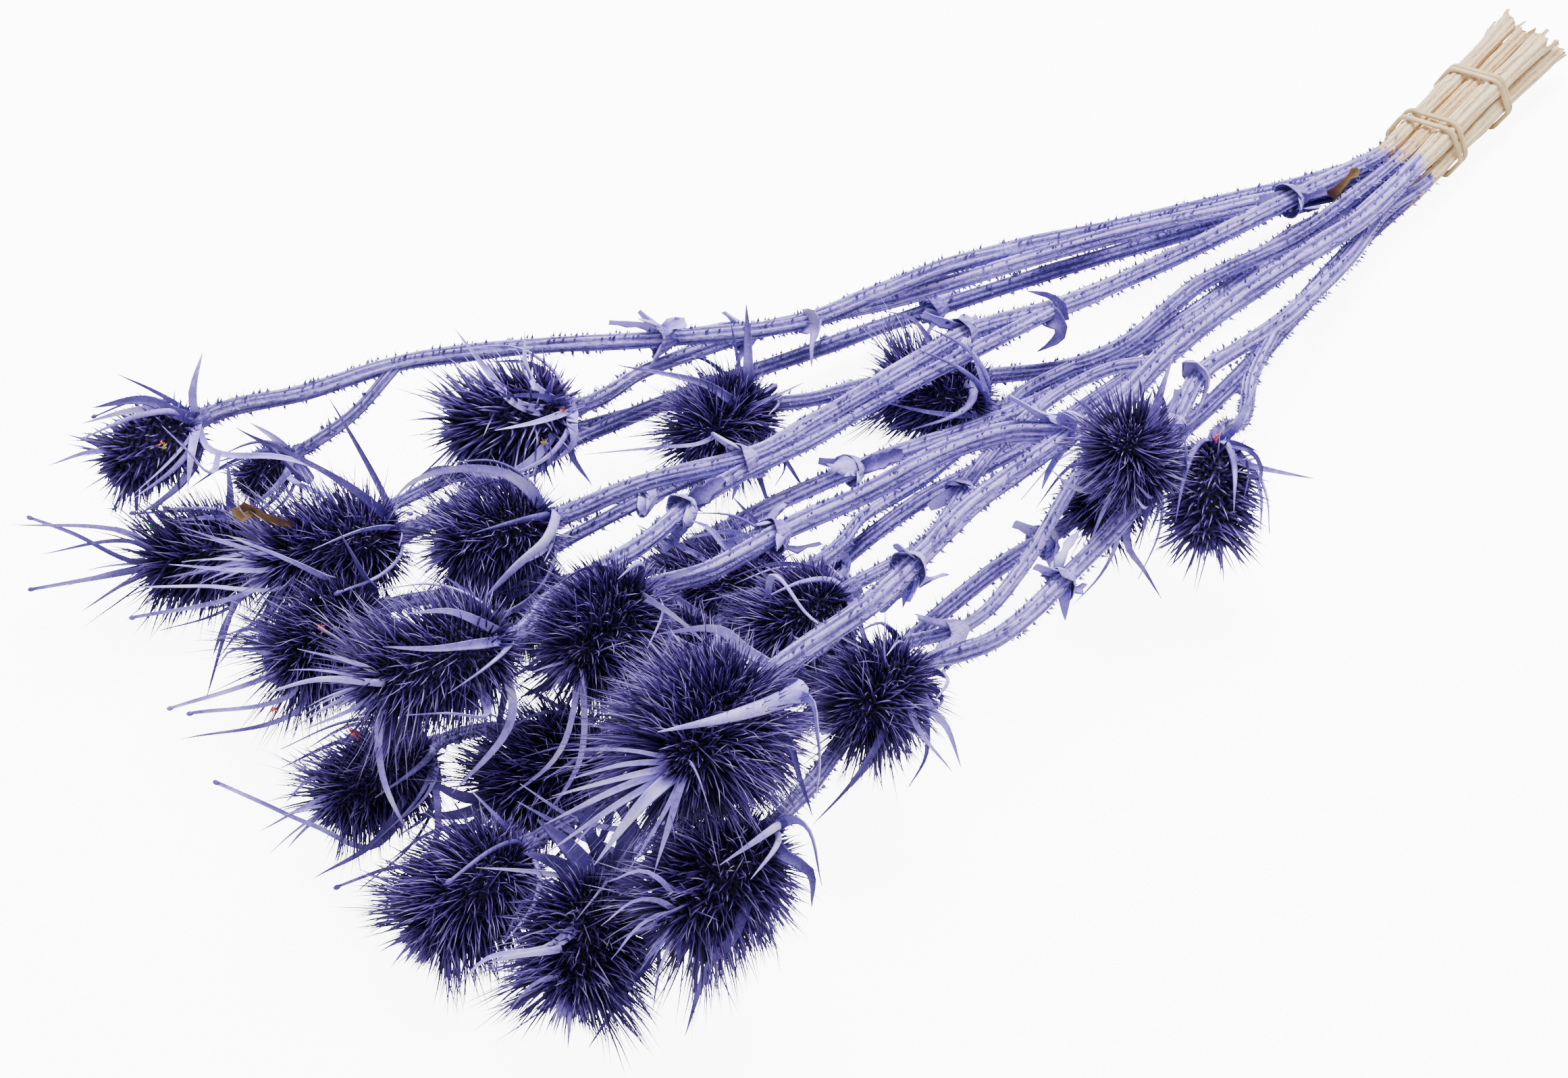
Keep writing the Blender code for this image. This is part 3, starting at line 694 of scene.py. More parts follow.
def shared_group(name, inputs, outputs):
    """A node group with named sockets, and its two end nodes."""
    group = bpy.data.node_groups.new(name, "ShaderNodeTree")
    for socket, kind, default in inputs:
        made = group.interface.new_socket(socket, in_out="INPUT", socket_type=kind)
        if default is not None:
            made.default_value = default
    for socket, kind in outputs:
        group.interface.new_socket(socket, in_out="OUTPUT", socket_type=kind)
    return group, group.nodes.new("NodeGroupInput"), group.nodes.new("NodeGroupOutput")


def speckle_group():
    """Fine dye speckle and broad blotches, from the object's own place."""
    group, start, end = shared_group(
        "dye_speckle", [("Fine", "NodeSocketFloat", 900.0), ("Broad", "NodeSocketFloat", 60.0)],
        [("Speck", "NodeSocketFloat"), ("Blotch", "NodeSocketFloat")])
    here = group.nodes.new("ShaderNodeTexCoord").outputs["Object"]
    feed(group, end.inputs["Speck"], noise(group, here, start.outputs["Fine"], 4.0, 0.65))
    feed(group, end.inputs["Blotch"], noise(group, here, start.outputs["Broad"], 2.0))
    return group


def straw_group():
    """1 on the bare straw foot, 0 past the ragged edge of the dye."""
    group, start, end = shared_group(
        "bare_foot", [("Edge", "NodeSocketFloat", 0.0)], [("Bare", "NodeSocketFloat")])
    here = group.nodes.new("ShaderNodeTexCoord").outputs["Object"]
    x = joined(group, "ShaderNodeSeparateXYZ", {"Vector": here}).outputs["X"]
    ragged = math_node(group, "MULTIPLY_ADD", noise(group, here, 150.0, 3.0), 0.05, -0.025)
    past = math_node(group, "SUBTRACT", math_node(group, "ADD", x, ragged), start.outputs["Edge"])
    feed(group, end.inputs["Bare"], ranged(group, past, -0.003, 0.004, 1.0, 0.0))
    return group


SPECKLE = speckle_group()
BARE_FOOT = straw_group()
DYE_EDGE = (20.0 + SHIFT[0]) * MM       # how far up the stems the dye reaches


def grouped(tree, group, **values):
    """A shared group in a material, with its own values, as its outputs."""
    node = joined(tree, "ShaderNodeGroup", node_tree=group)
    for name, value in values.items():
        node.inputs[name].default_value = value
    return node.outputs


def bumped(tree, bsdf, height, strength, distance):
    """Relief on a finish, distance metres deep."""
    bump = joined(tree, "ShaderNodeBump", {
        "Height": height, "Strength": strength, "Distance": distance})
    tree.links.new(bump.outputs["Normal"], bsdf.inputs["Normal"])


def stem_finish():
    """Milky lilac over ribbed bark: crests painted paler and grooves darker violet, partly as
    painted highlight and shade; straw foot.
    """
    finish, tree, bsdf = new_finish("lilac_stem", roughness=0.72)
    spots = grouped(tree, SPECKLE, Fine=700.0, Broad=45.0)
    grain = joined(tree, "ShaderNodeMapping", {
        "Vector": value_of(tree, "grain", "Vector"), "Scale": FIBRE_SCALE}).outputs["Vector"]
    fibre = noise(tree, grain, 1.0, 5.0, 0.7)
    # Grooves between ribs painted darker and crests paler: partly painted shade and highlight,
    # partly the bark's own streaks.
    shade_and_tone = math_node(tree, "MULTIPLY", value_of(tree, "rib"), 0.62)
    shade_and_tone = nudged(tree, shade_and_tone, fibre, 1.6, -0.57)
    # Each stem's pick paints the stems low in the bunch darker, as painted shade.
    shade_and_tone = nudged(tree, shade_and_tone, value_of(tree, "pick"), 0.5, -0.27)
    shade_and_tone = nudged(tree, shade_and_tone, spots["Blotch"], 0.6, -0.30)
    shade_and_tone = nudged(tree, shade_and_tone, spots["Speck"], 0.9, -0.45)
    lilac = ramp(tree, shade_and_tone, [(0.10, STEM_GROOVE_SHADE), (0.45, STEM_MID), (0.74, STEM_CREST),
                               (0.96, STEM_DUST_AND_HIGHLIGHT)])
    # On the straw foot the grooves are painted darker too, partly as painted shade between the
    # stems.
    straw = ramp(tree, shade_and_tone, [(0.10, STRAW_GROOVE_SHADE), (0.55, STRAW_MID), (1.0, STRAW_CREST)])
    foot = grouped(tree, BARE_FOOT, Edge=DYE_EDGE)["Bare"]
    colour = mixed(tree, foot, lilac, straw)
    # Dark prickle tips, with painted shade under each head and inside the leaf cups.
    tips_and_shade = math_node(tree, "MULTIPLY", ranged(tree, value_of(tree, "tip"), 0.0, 0.6), 0.9)
    colour = mixed(tree, tips_and_shade, colour, PRICKLE_TIP_AND_SHADE)
    tree.links.new(colour, bsdf.inputs["Base Color"])
    relief = math_node(tree, "ADD", fibre, math_node(tree, "MULTIPLY", spots["Speck"], 0.6))
    bumped(tree, bsdf, relief, 0.8, 0.0010)
    return finish


def blade_finish():
    """Bracts: chalky lilac on most, blue-violet towards some tips and roots."""
    finish, tree, bsdf = new_finish("lilac_bract", roughness=0.66)
    spots = grouped(tree, SPECKLE, Fine=900.0, Broad=70.0)
    pale = math_node(tree, "MULTIPLY", value_of(tree, "pick"), 0.75)
    pale = nudged(tree, pale, spots["Blotch"], 1.3, -0.52)
    pale = nudged(tree, pale, spots["Speck"], 0.6, -0.3)
    colour = ramp(tree, pale, [(0.0, BRACT_DARK), (0.4, BRACT_MID), (0.75, STEM_CREST),
                               (1.0, STEM_DUST_AND_HIGHLIGHT)])
    root = ranged(tree, value_of(tree, "tip"), 0.0, 0.22, 0.55, 0.0)
    colour = mixed(tree, root, colour, BRACT_DARK)
    tree.links.new(colour, bsdf.inputs["Base Color"])
    bumped(tree, bsdf, spots["Speck"], 0.35, 0.0004)
    return finish


def awn_finish():
    """Awns: near-black indigo towards the root as painted shade deep in the head, violet-blue,
    lilac-dusted tips.
    """
    finish, tree, bsdf = new_finish("indigo_awn", roughness=0.60)
    spots = grouped(tree, SPECKLE, Fine=1400.0, Broad=75.0)
    # Awns painted darker towards the root as shade deep in the head, paler towards the tip.
    depth_shade_and_dust = math_node(tree, "MULTIPLY", value_of(tree, "tip"), 0.72)
    depth_shade_and_dust = nudged(tree, depth_shade_and_dust, value_of(tree, "pick"), 0.80, -0.27)
    depth_shade_and_dust = nudged(tree, depth_shade_and_dust, spots["Blotch"], 0.9, -0.45)
    colour = ramp(tree, depth_shade_and_dust, [(0.0, AWN_ROOT_SHADE), (0.40, AWN_MID), (0.72, AWN_PALE),
                               (1.0, AWN_DUST)])
    tree.links.new(colour, bsdf.inputs["Base Color"])
    return finish


def core_finish():
    """The core between the awns: pits painted near black as shade, with paler walls."""
    finish, tree, bsdf = new_finish("pitted_core", roughness=0.85)
    here = tree.nodes.new("ShaderNodeTexCoord").outputs["Object"]
    cells = joined(tree, "ShaderNodeTexVoronoi", {"Vector": here, "Scale": PITS},
                   feature="DISTANCE_TO_EDGE").outputs["Distance"]
    wall = ranged(tree, cells, 0.02, 0.22, 1.0, 0.0)
    # The pits painted near black, as painted shade deep in the head.
    colour = ramp(tree, wall, [(0.0, CORE_PIT_SHADE), (0.6, AWN_ROOT_SHADE), (1.0, AWN_MID)])
    tree.links.new(colour, bsdf.inputs["Base Color"])
    bumped(tree, bsdf, wall, 0.9, 0.0012)
    return finish


def band_finish():
    """Old natural rubber: greenish beige, darker in blotches, dull."""
    finish, tree, bsdf = new_finish("beige_rubber", roughness=0.55)
    spots = grouped(tree, SPECKLE, Fine=1100.0, Broad=160.0)
    tone = math_node(tree, "MULTIPLY", spots["Blotch"], 0.7)
    tone = nudged(tree, tone, spots["Speck"], 0.3, 0.0)
    colour = ramp(tree, tone, [(0.25, RUBBER_CREASE), (0.55, RUBBER_MID), (0.8, RUBBER_PALE)])
    tree.links.new(colour, bsdf.inputs["Base Color"])
    bumped(tree, bsdf, spots["Speck"], 0.2, 0.0003)
    return finish


def stray_finish():
    """Odd bits caught on the heads: each bit's own value picks its colour."""
    finish, tree, bsdf = new_finish("stray_bits", roughness=0.6)
    stops = [(k / len(STRAYS), colour) for k, colour in enumerate(STRAYS.values())]
    colour = ramp(tree, value_of(tree, "pick"), stops, steps="CONSTANT")
    tree.links.new(colour, bsdf.inputs["Base Color"])
    bumped(tree, bsdf, grouped(tree, SPECKLE, Fine=900.0, Broad=70.0)["Speck"], 0.6, 0.0006)
    return finish


# ---------------------------------------------------------------- stems

RIBS = 8
# How pale each stem is painted: painted shade that darkens the stems low in the bunch; 0 is the
# darkest, the others take the usual value below.
PAINTED_STEM_SHADE = {"C1": 0.10, "C2": 0.15, "F1": 0.20, "F2": 0.15, "F3": 0.10, "J1": 0.40, "J3": 0.25,
        "L1": 0.40, "L2": 0.30, "L3": 0.25, "H4": 0.30, "A1": 0.55, "A2": 0.50}
PAINTED_STEM_SHADE_USUAL = 0.72
# Dark, rough stretches under a head, their darkness painted shade, and how dark it is painted at
# the head.
NECK = 60.0
SHADED_NECKS = {"A1": 0.34, "A2": 0.22, "B1": 0.26, "J2": 0.24, "H2": 0.24, "L1": 0.24,
               "H4": 0.20}
NECK_SHADE_USUAL = 0.10
SPREAD = math.pi * (3 - math.sqrt(5))     # turn from one awn or bract to the next
STEM_STEP = 4.0         # between a fine stem's rings
PRICKLE_STEP = 0.50     # along a stem, from one prickle to the next
PRICKLES_FROM = 98.0    # the stems are smooth from their foot to here
DOWNY = 34.0            # bristly stretch under each head


def fine_line(name):
    """The stem's line again, closely spaced, with its radius all along."""
    end = direction(*HEADS[name][1:3])
    coarse = led_through(waypoints(name), RINGS, end)
    fine = led_through(coarse, STEM_STEP, end)
    run, fine_run = distances(coarse), distances(fine)
    radii = np.interp(fine_run / fine_run[-1], run / run[-1], stem_radii(name, coarse))
    return fine, radii, fine_run


def add_splinters(piece, name, line, girth):
    """Torn strips of bark at a cut end."""
    rng = random.Random("splinters" + name)
    back = unit(line[0] - line[1])
    for k in range(3):
        out = round_about(back, any_turn(rng))
        length = rng.uniform(3, 7)
        base = line[0] - back * 6 + out * girth * 0.66
        tip = line[0] + back * length + out * (girth * 0.8 + length * rng.uniform(0, 0.25))
        if tip[2] > 1.0:
            add_blade(piece, [base, (base + tip) / 2, tip], rng.uniform(1.8, 3.4), 1.2, out,
                      name + "split" + str(k), torn=0.5, pick=0.5, blunt=True, dark=0.0)


def add_ribbed_stem(piece, name):
    """One stem or branch: ribs that rise and fade, and a rough cut end."""
    rng = random.Random("ribs" + name)
    line, radii, run = fine_line(name)
    heights = [rng.uniform(0.6, 1.15) for _ in range(RIBS)]
    phases = [any_turn(rng) for _ in range(RIBS)]
    sway = any_turn(rng)
    whole = ROUTES[name][0] is None
    if whole:                             # the solid tapers more than the plant did
        stout = np.interp(run, [0, 105, 165, run[-1]],
                          [rng.uniform(1.08, 1.24), 1.05, 1.2, 1.42])
        knot = rng.uniform(12, 60)        # an old leaf's node, swollen
        stout = stout + 0.14 * np.exp(-((run - knot) / 5.0) ** 2)
    else:
        stout = np.interp(run, [0, run[-1]], [1.25, 1.38])
    girth = radii * stout

    def ribs_at(v):
        """Which rib a place round the stem belongs to: they stand unevenly."""
        return (v + 0.028 * np.sin(2 * np.pi * v + sway)
                + 0.016 * np.sin(6 * np.pi * v + 2 * sway)) * RIBS

    def section(u, v):
        i = round(u * (len(line) - 1))
        along = run[i]
        turn = 2 * math.pi * v
        rib = int(ribs_at(v)) % RIBS
        wave = 0.5 - 0.5 * math.cos(2 * math.pi * ribs_at(v))
        rise = heights[rib] * (0.75 + 0.25 * math.sin(along / 11.0 + phases[rib]))
        flat = 1 + (0.05 if along > 110 else 0.08) * math.cos(2 * turn + sway + along / 90.0)
        lumpy = 1 + 0.035 * math.sin(along / 7.0 + sway)
        r = girth[i] * (0.78 + 0.25 * wave * rise) * flat * lumpy
        return r * math.cos(turn), r * math.sin(turn)

    verts, faces, uv = drawn_along(line, section, RIBS * 4)
    if whole:                             # the foot was cut askew, with splinters
        end = uv[:, 0] < 0.5 / len(line)
        ragged = np.array([rng.uniform(-1.0, 1.0) for _ in uv])
        askew = 2.4 * np.cos(2 * np.pi * uv[:, 1] + sway) + ragged
        verts = verts + np.outer(end * askew, unit(line[1] - line[0]))
    wave = 0.5 - 0.5 * np.cos(2 * np.pi * ribs_at(uv[:, 1]))
    around = 2 * np.pi * radii.mean()
    grain = np.column_stack([uv[:, 0] * run[-1], uv[:, 1] * around]) * MM
    # Painted shade under each head: the stem is painted darker towards it.
    to_head = (1 - uv[:, 0]) * run[-1]
    # pick carries each stem's painted shade.
    piece.add(verts, faces, uv=grain, rib=wave, pick=PAINTED_STEM_SHADE.get(name, PAINTED_STEM_SHADE_USUAL),
              tip=SHADED_NECKS.get(name, NECK_SHADE_USUAL) * np.clip(1 - to_head / NECK, 0, 1))
    if whole:
        add_splinters(piece, name, line, girth[0])
    return line, girth * 0.98, run


PRICKLE = sprig(3, 2, 0.12)
HAIR = sprig(3, 1, 0.0)


def add_prickles(name, line, radii, run, spines):
    """Prickles on the ribs, with a dense downy stretch under the head."""
    rng = random.Random("prickles" + name)
    along = PRICKLES_FROM if ROUTES[name][0] is None else 8.0
    while along < run[-1] - 3:
        i = min(int(np.searchsorted(run, along)), len(line) - 2)
        step = unit(line[i + 1] - line[i])
        near_head = max(0.0, 1 - (run[-1] - along) / DOWNY)
        downy = rng.random() < 0.65 and near_head > 0
        turn = 2 * math.pi * (rng.randrange(RIBS) + 0.5) / RIBS + rng.uniform(-0.1, 0.1)
        out = round_about(step, turn)
        size = rng.triangular(0.9, 3.0, 1.5) * (1 + 0.4 * near_head)
        root = line[i] + (line[i + 1] - line[i]) * rng.random() + out * radii[i] * 0.97
        way = out + step * rng.uniform(-0.45, 0.1)
        way = way + np.array([rng.gauss(0, 0.15) for _ in range(3)])
        if root[2] + way[2] * size > 0.2:
            width = 0.20 if downy else 0.30 + 0.13 * size
            spines["small" if downy else "big"].append(
                placed(root, way, -step, size, width, -step * 0.25))
        along += PRICKLE_STEP * rng.uniform(0.5, 1.5) / (1 + 3 * near_head)


def add_cup(piece, at, way, low, high, seed):
    """A leaf cup: a torn, hollow collar that flares off the node."""
    rng = random.Random("rim" + seed)
    waves = [(rng.randint(2, 5), any_turn(rng), rng.uniform(0.2, 0.6)) for _ in range(3)]
    # radius and height, up the outside, over the rim and down the inside
    profile = [(low * 0.9, -1.5), (low * 1.12, 0.5), ((low + high) * 0.52, 3.0), (high, 6.5),
               (high - 0.15, 6.8), (high - 0.6, 6.2), ((low + high) * 0.47, 3.6), (low * 0.8, 2.4)]
    rim = 5                               # the first of them that is inside

    def tear(turn, z):
        return sum(a * np.sin(n * turn + p) for n, p, a in waves) * np.clip((z - 3.2) / 3.2, 0, 1)

    def section(u, v):
        r, z = profile[round(u * (len(profile) - 1))]
        turn = 2 * math.pi * v
        r += 0.25 * tear(turn, z)
        return r * math.cos(turn), r * math.sin(turn)

    axis = unit(way)
    stations = np.array([at + axis * (0.001 * i) for i in range(len(profile))])
    verts, faces, uv = drawn_along(stations, section, 20)
    index = np.rint(uv[:, 0] * (len(profile) - 1)).astype(int)
    z = np.array([p[1] for p in profile])[index]
    verts = verts + axis * (z + 1.3 * tear(2 * np.pi * uv[:, 1], z))[:, None]
    # The cup's inside is painted dark, as painted shade in its hollow.
    shaded_inside = (index >= rim).astype(float)
    grain = np.column_stack([z * 0.3, uv[:, 1] * 18]) * MM
    piece.add(verts, faces, uv=grain, rib=0.9 - 0.9 * shaded_inside, tip=shaded_inside * 0.15, pick=rng.random())


def add_blade(piece, line, width, thick, facing, seed, torn=0.0, pick=None, blunt=False,
              full=1.4, dark=1.0):
    """A long narrow leaf, channelled along its middle, with a keel behind.

    A blunt one keeps its width to the end; full is how late the others taper,
    pick how pale it is, and dark how much darker its tip may be.
    """
    rng = random.Random("blade" + seed)
    fine = led_through(line, SPACING)
    pick = rng.random() if pick is None else pick
    waves = [(rng.uniform(5, 14), any_turn(rng)) for _ in range(3)]
    curl = rng.uniform(-0.35, 0.35)

    def section(u, v):
        turn = 2 * math.pi * v
        ragged = 1 + torn * sum(math.sin(f * u + p + 2.0 * v) for f, p in waves) / 3
        kept = 1 - 0.5 * u if blunt else 1 - 0.95 * u ** full
        w = width * kept * (0.75 + 0.25 * min(1, u * 6)) * ragged
        t = thick * (1 - 0.6 * u)
        y = w / 2 * math.cos(turn)
        lifted = 0.30 * w * math.cos(turn) ** 2 + curl * y * u
        return t / 2 * math.sin(turn) + lifted - 0.1 * w, y

    verts, faces, uv = drawn_along(fine, section, 8, near=facing)
    grain = uv * (40, 6) * MM
    piece.add(verts, faces, uv=grain, tip=uv[:, 0] * dark, rib=0.6, pick=pick)
    return fine


def add_bead(piece, line, radius):
    """A drop of dye dried on the end of a bract."""
    way = line[-1] - line[-2]
    bm = bmesh.new()
    bmesh.ops.create_icosphere(bm, subdivisions=2, radius=radius)
    verts, faces = taken(bm)
    turn = np.array(frame_along(way))
    piece.add(line[-1] + (verts * (1, 1, 1.5)) @ turn.T, faces, pick=0.3, tip=0.5)


# Bracts that ended in a drop of dye when they were hung to dry.
BEADED = {"A1": (0, 2), "C1": (1, 3), "C2": (0, 1, 2), "F3": (1,), "L3": (0, 2), "J3": (1,),
          "L2": (1,), "B1": (2,)}
# Slender bracts more than the solids have: round the head, and standing off.
CLASPING = 5
STANDING = 2
STAND_OUT = 6.0         # mm that a bract may reach past the solids' box
OFF_FLOOR = 0.8         # mm that a bract's line stays above the floor


def inside(points):
    """Whether all of a line is within the solids' box, or just past it."""
    at = (np.asarray(points) + SHIFT) * MM
    low, high = np.array(CAD_BOX)
    past = STAND_OUT * MM
    return (at > low - (past, past, 0)).all() and (at < high + past).all() \
        and at[:, 2].min() > OFF_FLOOR * MM


# Bracts that the photograph shows, from each head's foot: width in mm, how
# pale, whether a drop of dye ends it or its root is hidden in the bunch, and
# pixels with mm before the head's middle.
PLAIN, DROP, HIDDEN = range(3)
FOOT_BRACTS = {
    "A1": [
        (2.2, 0.8, DROP, [(315, 668, 6), (416, 677, 8), (480, 697, 8), (526, 732, 6)]),
        (1.8, 0.7, HIDDEN, [(312, 700, 14), (275, 664, 18), (240, 630, 14)]),
        (3.6, 0.1, PLAIN, [(262, 612, 8), (215, 592, 8), (137, 603, 4)]),
        (2.6, 0.8, PLAIN, [(285, 580, 4), (300, 521, 2)]),
        (3.4, 0.9, PLAIN, [(284, 670, 12), (278, 722, 12)]),
    ],
    "A2": [
        (3.4, 0.1, PLAIN, [(457, 714, 8), (400, 664, 8), (350, 633, 4)]),
        (2.0, 0.8, DROP, [(428, 708, 6), (520, 743, 12), (578, 755, 12), (607, 760, 10)]),
    ],
    "C2": [
        (3.2, 0.1, PLAIN, [(345, 756, 4), (340, 715, 6), (336, 680, 4)]),
        (3.4, 0.15, HIDDEN, [(352, 888, 8), (332, 930, 8), (316, 968, 6)]),
        (2.0, 0.2, HIDDEN, [(345, 900, 10), (306, 1032, 6)]),
    ],
    "D2": [
        (2.8, 0.85, PLAIN, [(700, 915, 10), (660, 903, 16), (601, 908, 18)]),
        (3.0, 0.75, PLAIN, [(690, 955, 22), (640, 960, 26), (567, 957, 24)]),
        (2.6, 0.5, HIDDEN, [(723, 1056, 14), (660, 1055, 24), (601, 1058, 22)]),
        (2.4, 0.8, HIDDEN, [(563, 1059, 14), (567, 1150, 10), (608, 1241, 4)]),
    ],
    "G2": [
        (2.6, 0.4, PLAIN, [(1060, 835, 10), (1025, 817, 10), (942, 776, 6)]),
        (3.4, 0.5, PLAIN, [(1084, 817, 6), (1045, 778, 6), (1015, 769, 4)]),
        (3.6, 0.85, PLAIN, [(1168, 852, 8), (1178, 908, 12), (1199, 963, 14)]),
    ],
    "E4": [
        (2.2, 0.85, HIDDEN, [(1150, 852, 14), (1202, 915, 18), (1310, 977, 14)]),
        (5.0, 0.05, HIDDEN, [(1171, 1000, 14), (1165, 970, 20), (1173, 935, 22)]),
    ],
    "E1": [
        (3.0, 0.95, PLAIN, [(963, 887, 14), (1010, 920, 22), (1056, 963, 24)]),
        (3.2, 0.95, HIDDEN, [(1105, 962, 20), (1060, 930, 26), (973, 938, 28)]),
        (2.6, 0.8, HIDDEN, [(739, 974, 10), (760, 1041, 14), (745, 1092, 16), (669, 1174, 14)]),
    ],
    "F2": [
        (3.4, 0.2, HIDDEN, [(896, 1338, -8), (840, 1278, 4), (797, 1247, 12), (739, 1198, 14)]),
        (3.2, 0.6, HIDDEN, [(960, 1284, -8), (894, 1252, 4), (833, 1223, 12), (766, 1186, 14)]),
        (2.2, 0.7, HIDDEN, [(1000, 1246, -8), (930, 1230, 0), (850, 1210, 12), (770, 1160, 20)]),
        (3.4, 0.0, PLAIN, [(905, 1190, 6), (892, 1240, 6), (850, 1296, 4)]),
        (3.0, 0.1, PLAIN, [(925, 1210, 2), (920, 1260, 0), (890, 1310, -4)]),
        (3.2, 0.0, PLAIN, [(880, 1180, 8), (850, 1240, 8), (800, 1290, 6)]),
        (2.8, 0.1, PLAIN, [(915, 1180, -2), (950, 1240, -4), (960, 1300, -6)]),
        (3.0, 0.0, PLAIN, [(900, 1170, -4), (930, 1225, -8), (905, 1290, -10)]),
    ],
    "C1": [
        (2.6, 0.2, PLAIN, [(540, 735, 12), (459, 685, 14), (355, 636, 10)]),
        (3.2, 0.9, HIDDEN, [(500, 866, 8), (478, 851, 20), (420, 824, 25), (337, 792, 22)]),
        (4.4, 0.15, HIDDEN, [(552, 880, 8), (540, 850, 20), (500, 782, 24)]),
    ],
    "D1": [
        (4.6, 1.0, PLAIN, [(826, 766, 12), (811, 800, 18), (770, 835, 20), (715, 888, 14)]),
        (3.2, 0.8, PLAIN, [(760, 705, 14), (689, 692, 12), (615, 710, 8), (578, 744, 4)]),
    ],
    "B1": [
        (3.2, 0.7, PLAIN, [(770, 600, 14), (718, 544, 8), (674, 487, 4)]),
        (3.0, 0.7, PLAIN, [(800, 580, 10), (779, 545, 4), (777, 490, 2)]),
        (3.4, 0.9, PLAIN, [(848, 630, 10), (850, 655, 10), (820, 684, 8)]),
        (2.8, 0.2, PLAIN, [(845, 668, 4), (877, 718, 2)]),
        (2.6, 0.6, PLAIN, [(760, 700, 16), (644, 694, 12), (589, 744, 6)]),
    ],
    "J1": [
        (4.4, 0.1, PLAIN, [(1108, 560, 4), (1108, 510, 2), (1105, 449, 0)]),
        (3.2, 0.1, PLAIN, [(1080, 590, 12), (1037, 566, 10), (914, 540, 6)]),
        (1.6, 0.7, PLAIN, [(1040, 655, 18), (977, 662, 14), (866, 672, 8)]),
        (3.0, 0.2, PLAIN, [(1122, 695, 8), (1148, 777, 4)]),
        (2.4, 0.3, PLAIN, [(1120, 600, 8), (1190, 566, 4)]),
    ],
    "J2": [
        (3.8, 0.9, PLAIN, [(1425, 560, 8), (1441, 580, 12), (1422, 608, 16), (1350, 636, 18)]),
        (3.0, 0.6, PLAIN, [(1450, 596, 4), (1462, 642, 4)]),
        (3.0, 0.2, PLAIN, [(1390, 525, 6), (1354, 474, 4), (1312, 460, 2)]),
    ],
    "E2": [
        (5.6, 1.0, PLAIN, [(1191, 1018, -8), (1150, 1040, 10), (1073, 1063, 26), (974, 1083, 30)]),
        (3.4, 0.9, PLAIN, [(1199, 1033, 2), (1212, 1090, 8), (1214, 1135, 8), (1208, 1180, 6)]),
        (3.8, 0.1, PLAIN, [(1170, 1100, 8), (1185, 1150, 10), (1203, 1206, 8)]),
    ],
    "L1": [
        (3.2, 0.6, PLAIN, [(1191, 1218, 6), (1217, 1310, 4)]),
        (4.4, 0.2, PLAIN, [(1165, 1268, 12), (1199, 1290, 12), (1202, 1342, 8)]),
        (3.4, 0.2, PLAIN, [(1090, 1380, 14), (1050, 1430, 10), (1015, 1532, 6)]),
        (2.8, 0.8, PLAIN, [(1150, 1222, 14), (1066, 1280, 26)]),
    ],
    "L2": [
        (7.0, 0.0, PLAIN, [(905, 1290, -10), (880, 1240, -8), (850, 1190, -8)]),
        (6.0, 0.05, PLAIN, [(880, 1295, -8), (840, 1250, -6), (795, 1212, -6)]),
        (6.0, 0.0, PLAIN, [(915, 1285, -12), (930, 1235, -12), (940, 1180, -12)]),
        (6.0, 0.1, PLAIN, [(860, 1300, -4), (820, 1275, 0), (775, 1262, 2)]),
        (5.0, 0.0, PLAIN, [(930, 1300, -10), (965, 1275, -12), (985, 1225, -14)]),
        (4.6, 0.1, PLAIN, [(970, 1400, 10), (936, 1455, 8), (872, 1550, 4)]),
        (3.4, 0.9, PLAIN, [(820, 1400, 16), (724, 1418, 10), (676, 1462, 4)]),
    ],
    "L3": [
        (2.4, 0.5, PLAIN, [(760, 1390, 16), (700, 1440, 22), (600, 1500, 26)]),
        (1.6, 0.6, HIDDEN, [(640, 1390, 10), (520, 1446, 24)]),
    ],
    "H1": [
        (3.2, 0.6, PLAIN, [(1377, 1048, 4), (1402, 1077, 4), (1423, 1135, 2)]),
        (2.4, 0.7, PLAIN, [(1355, 1070, 10), (1410, 1142, 4)]),
        (2.8, 0.6, PLAIN, [(1312, 985, 6), (1311, 905, 4)]),
        (2.2, 0.1, PLAIN, [(1300, 1100, 14), (1260, 1160, 10), (1204, 1220, 6)]),
    ],
    "H2": [
        (2.8, 0.5, PLAIN, [(1840, 685, 6), (1890, 698, 4), (1946, 708, 2)]),
        (2.4, 0.3, PLAIN, [(1832, 630, 2), (1862, 562, 0)]),
        (2.6, 0.6, PLAIN, [(1850, 665, 8), (1868, 690, 8), (1862, 732, 6)]),
    ],
    "H3": [
        (4.2, 0.5, PLAIN, [(1706, 620, 10), (1737, 526, 8)]),
        (3.0, 0.3, PLAIN, [(1750, 640, 8), (1800, 608, 6)]),
    ],
    "H4": [
        (2.8, 0.3, PLAIN, [(1668, 800, 8), (1695, 845, 6), (1720, 886, 4)]),
        (2.0, 0.6, PLAIN, [(1655, 800, 8), (1630, 850, 6), (1588, 896, 4)]),
    ],
    "F3": [
        (2.0, 0.5, DROP, [(560, 1250, 8), (464, 1222, 10), (383, 1186, 8), (320, 1158, 4)]),
        (2.4, 0.1, PLAIN, [(560, 1240, 6), (464, 1300, 2)]),
        (2.2, 0.5, DROP, [(640, 1262, 6), (560, 1290, 4), (499, 1313, 2)]),
    ],
}
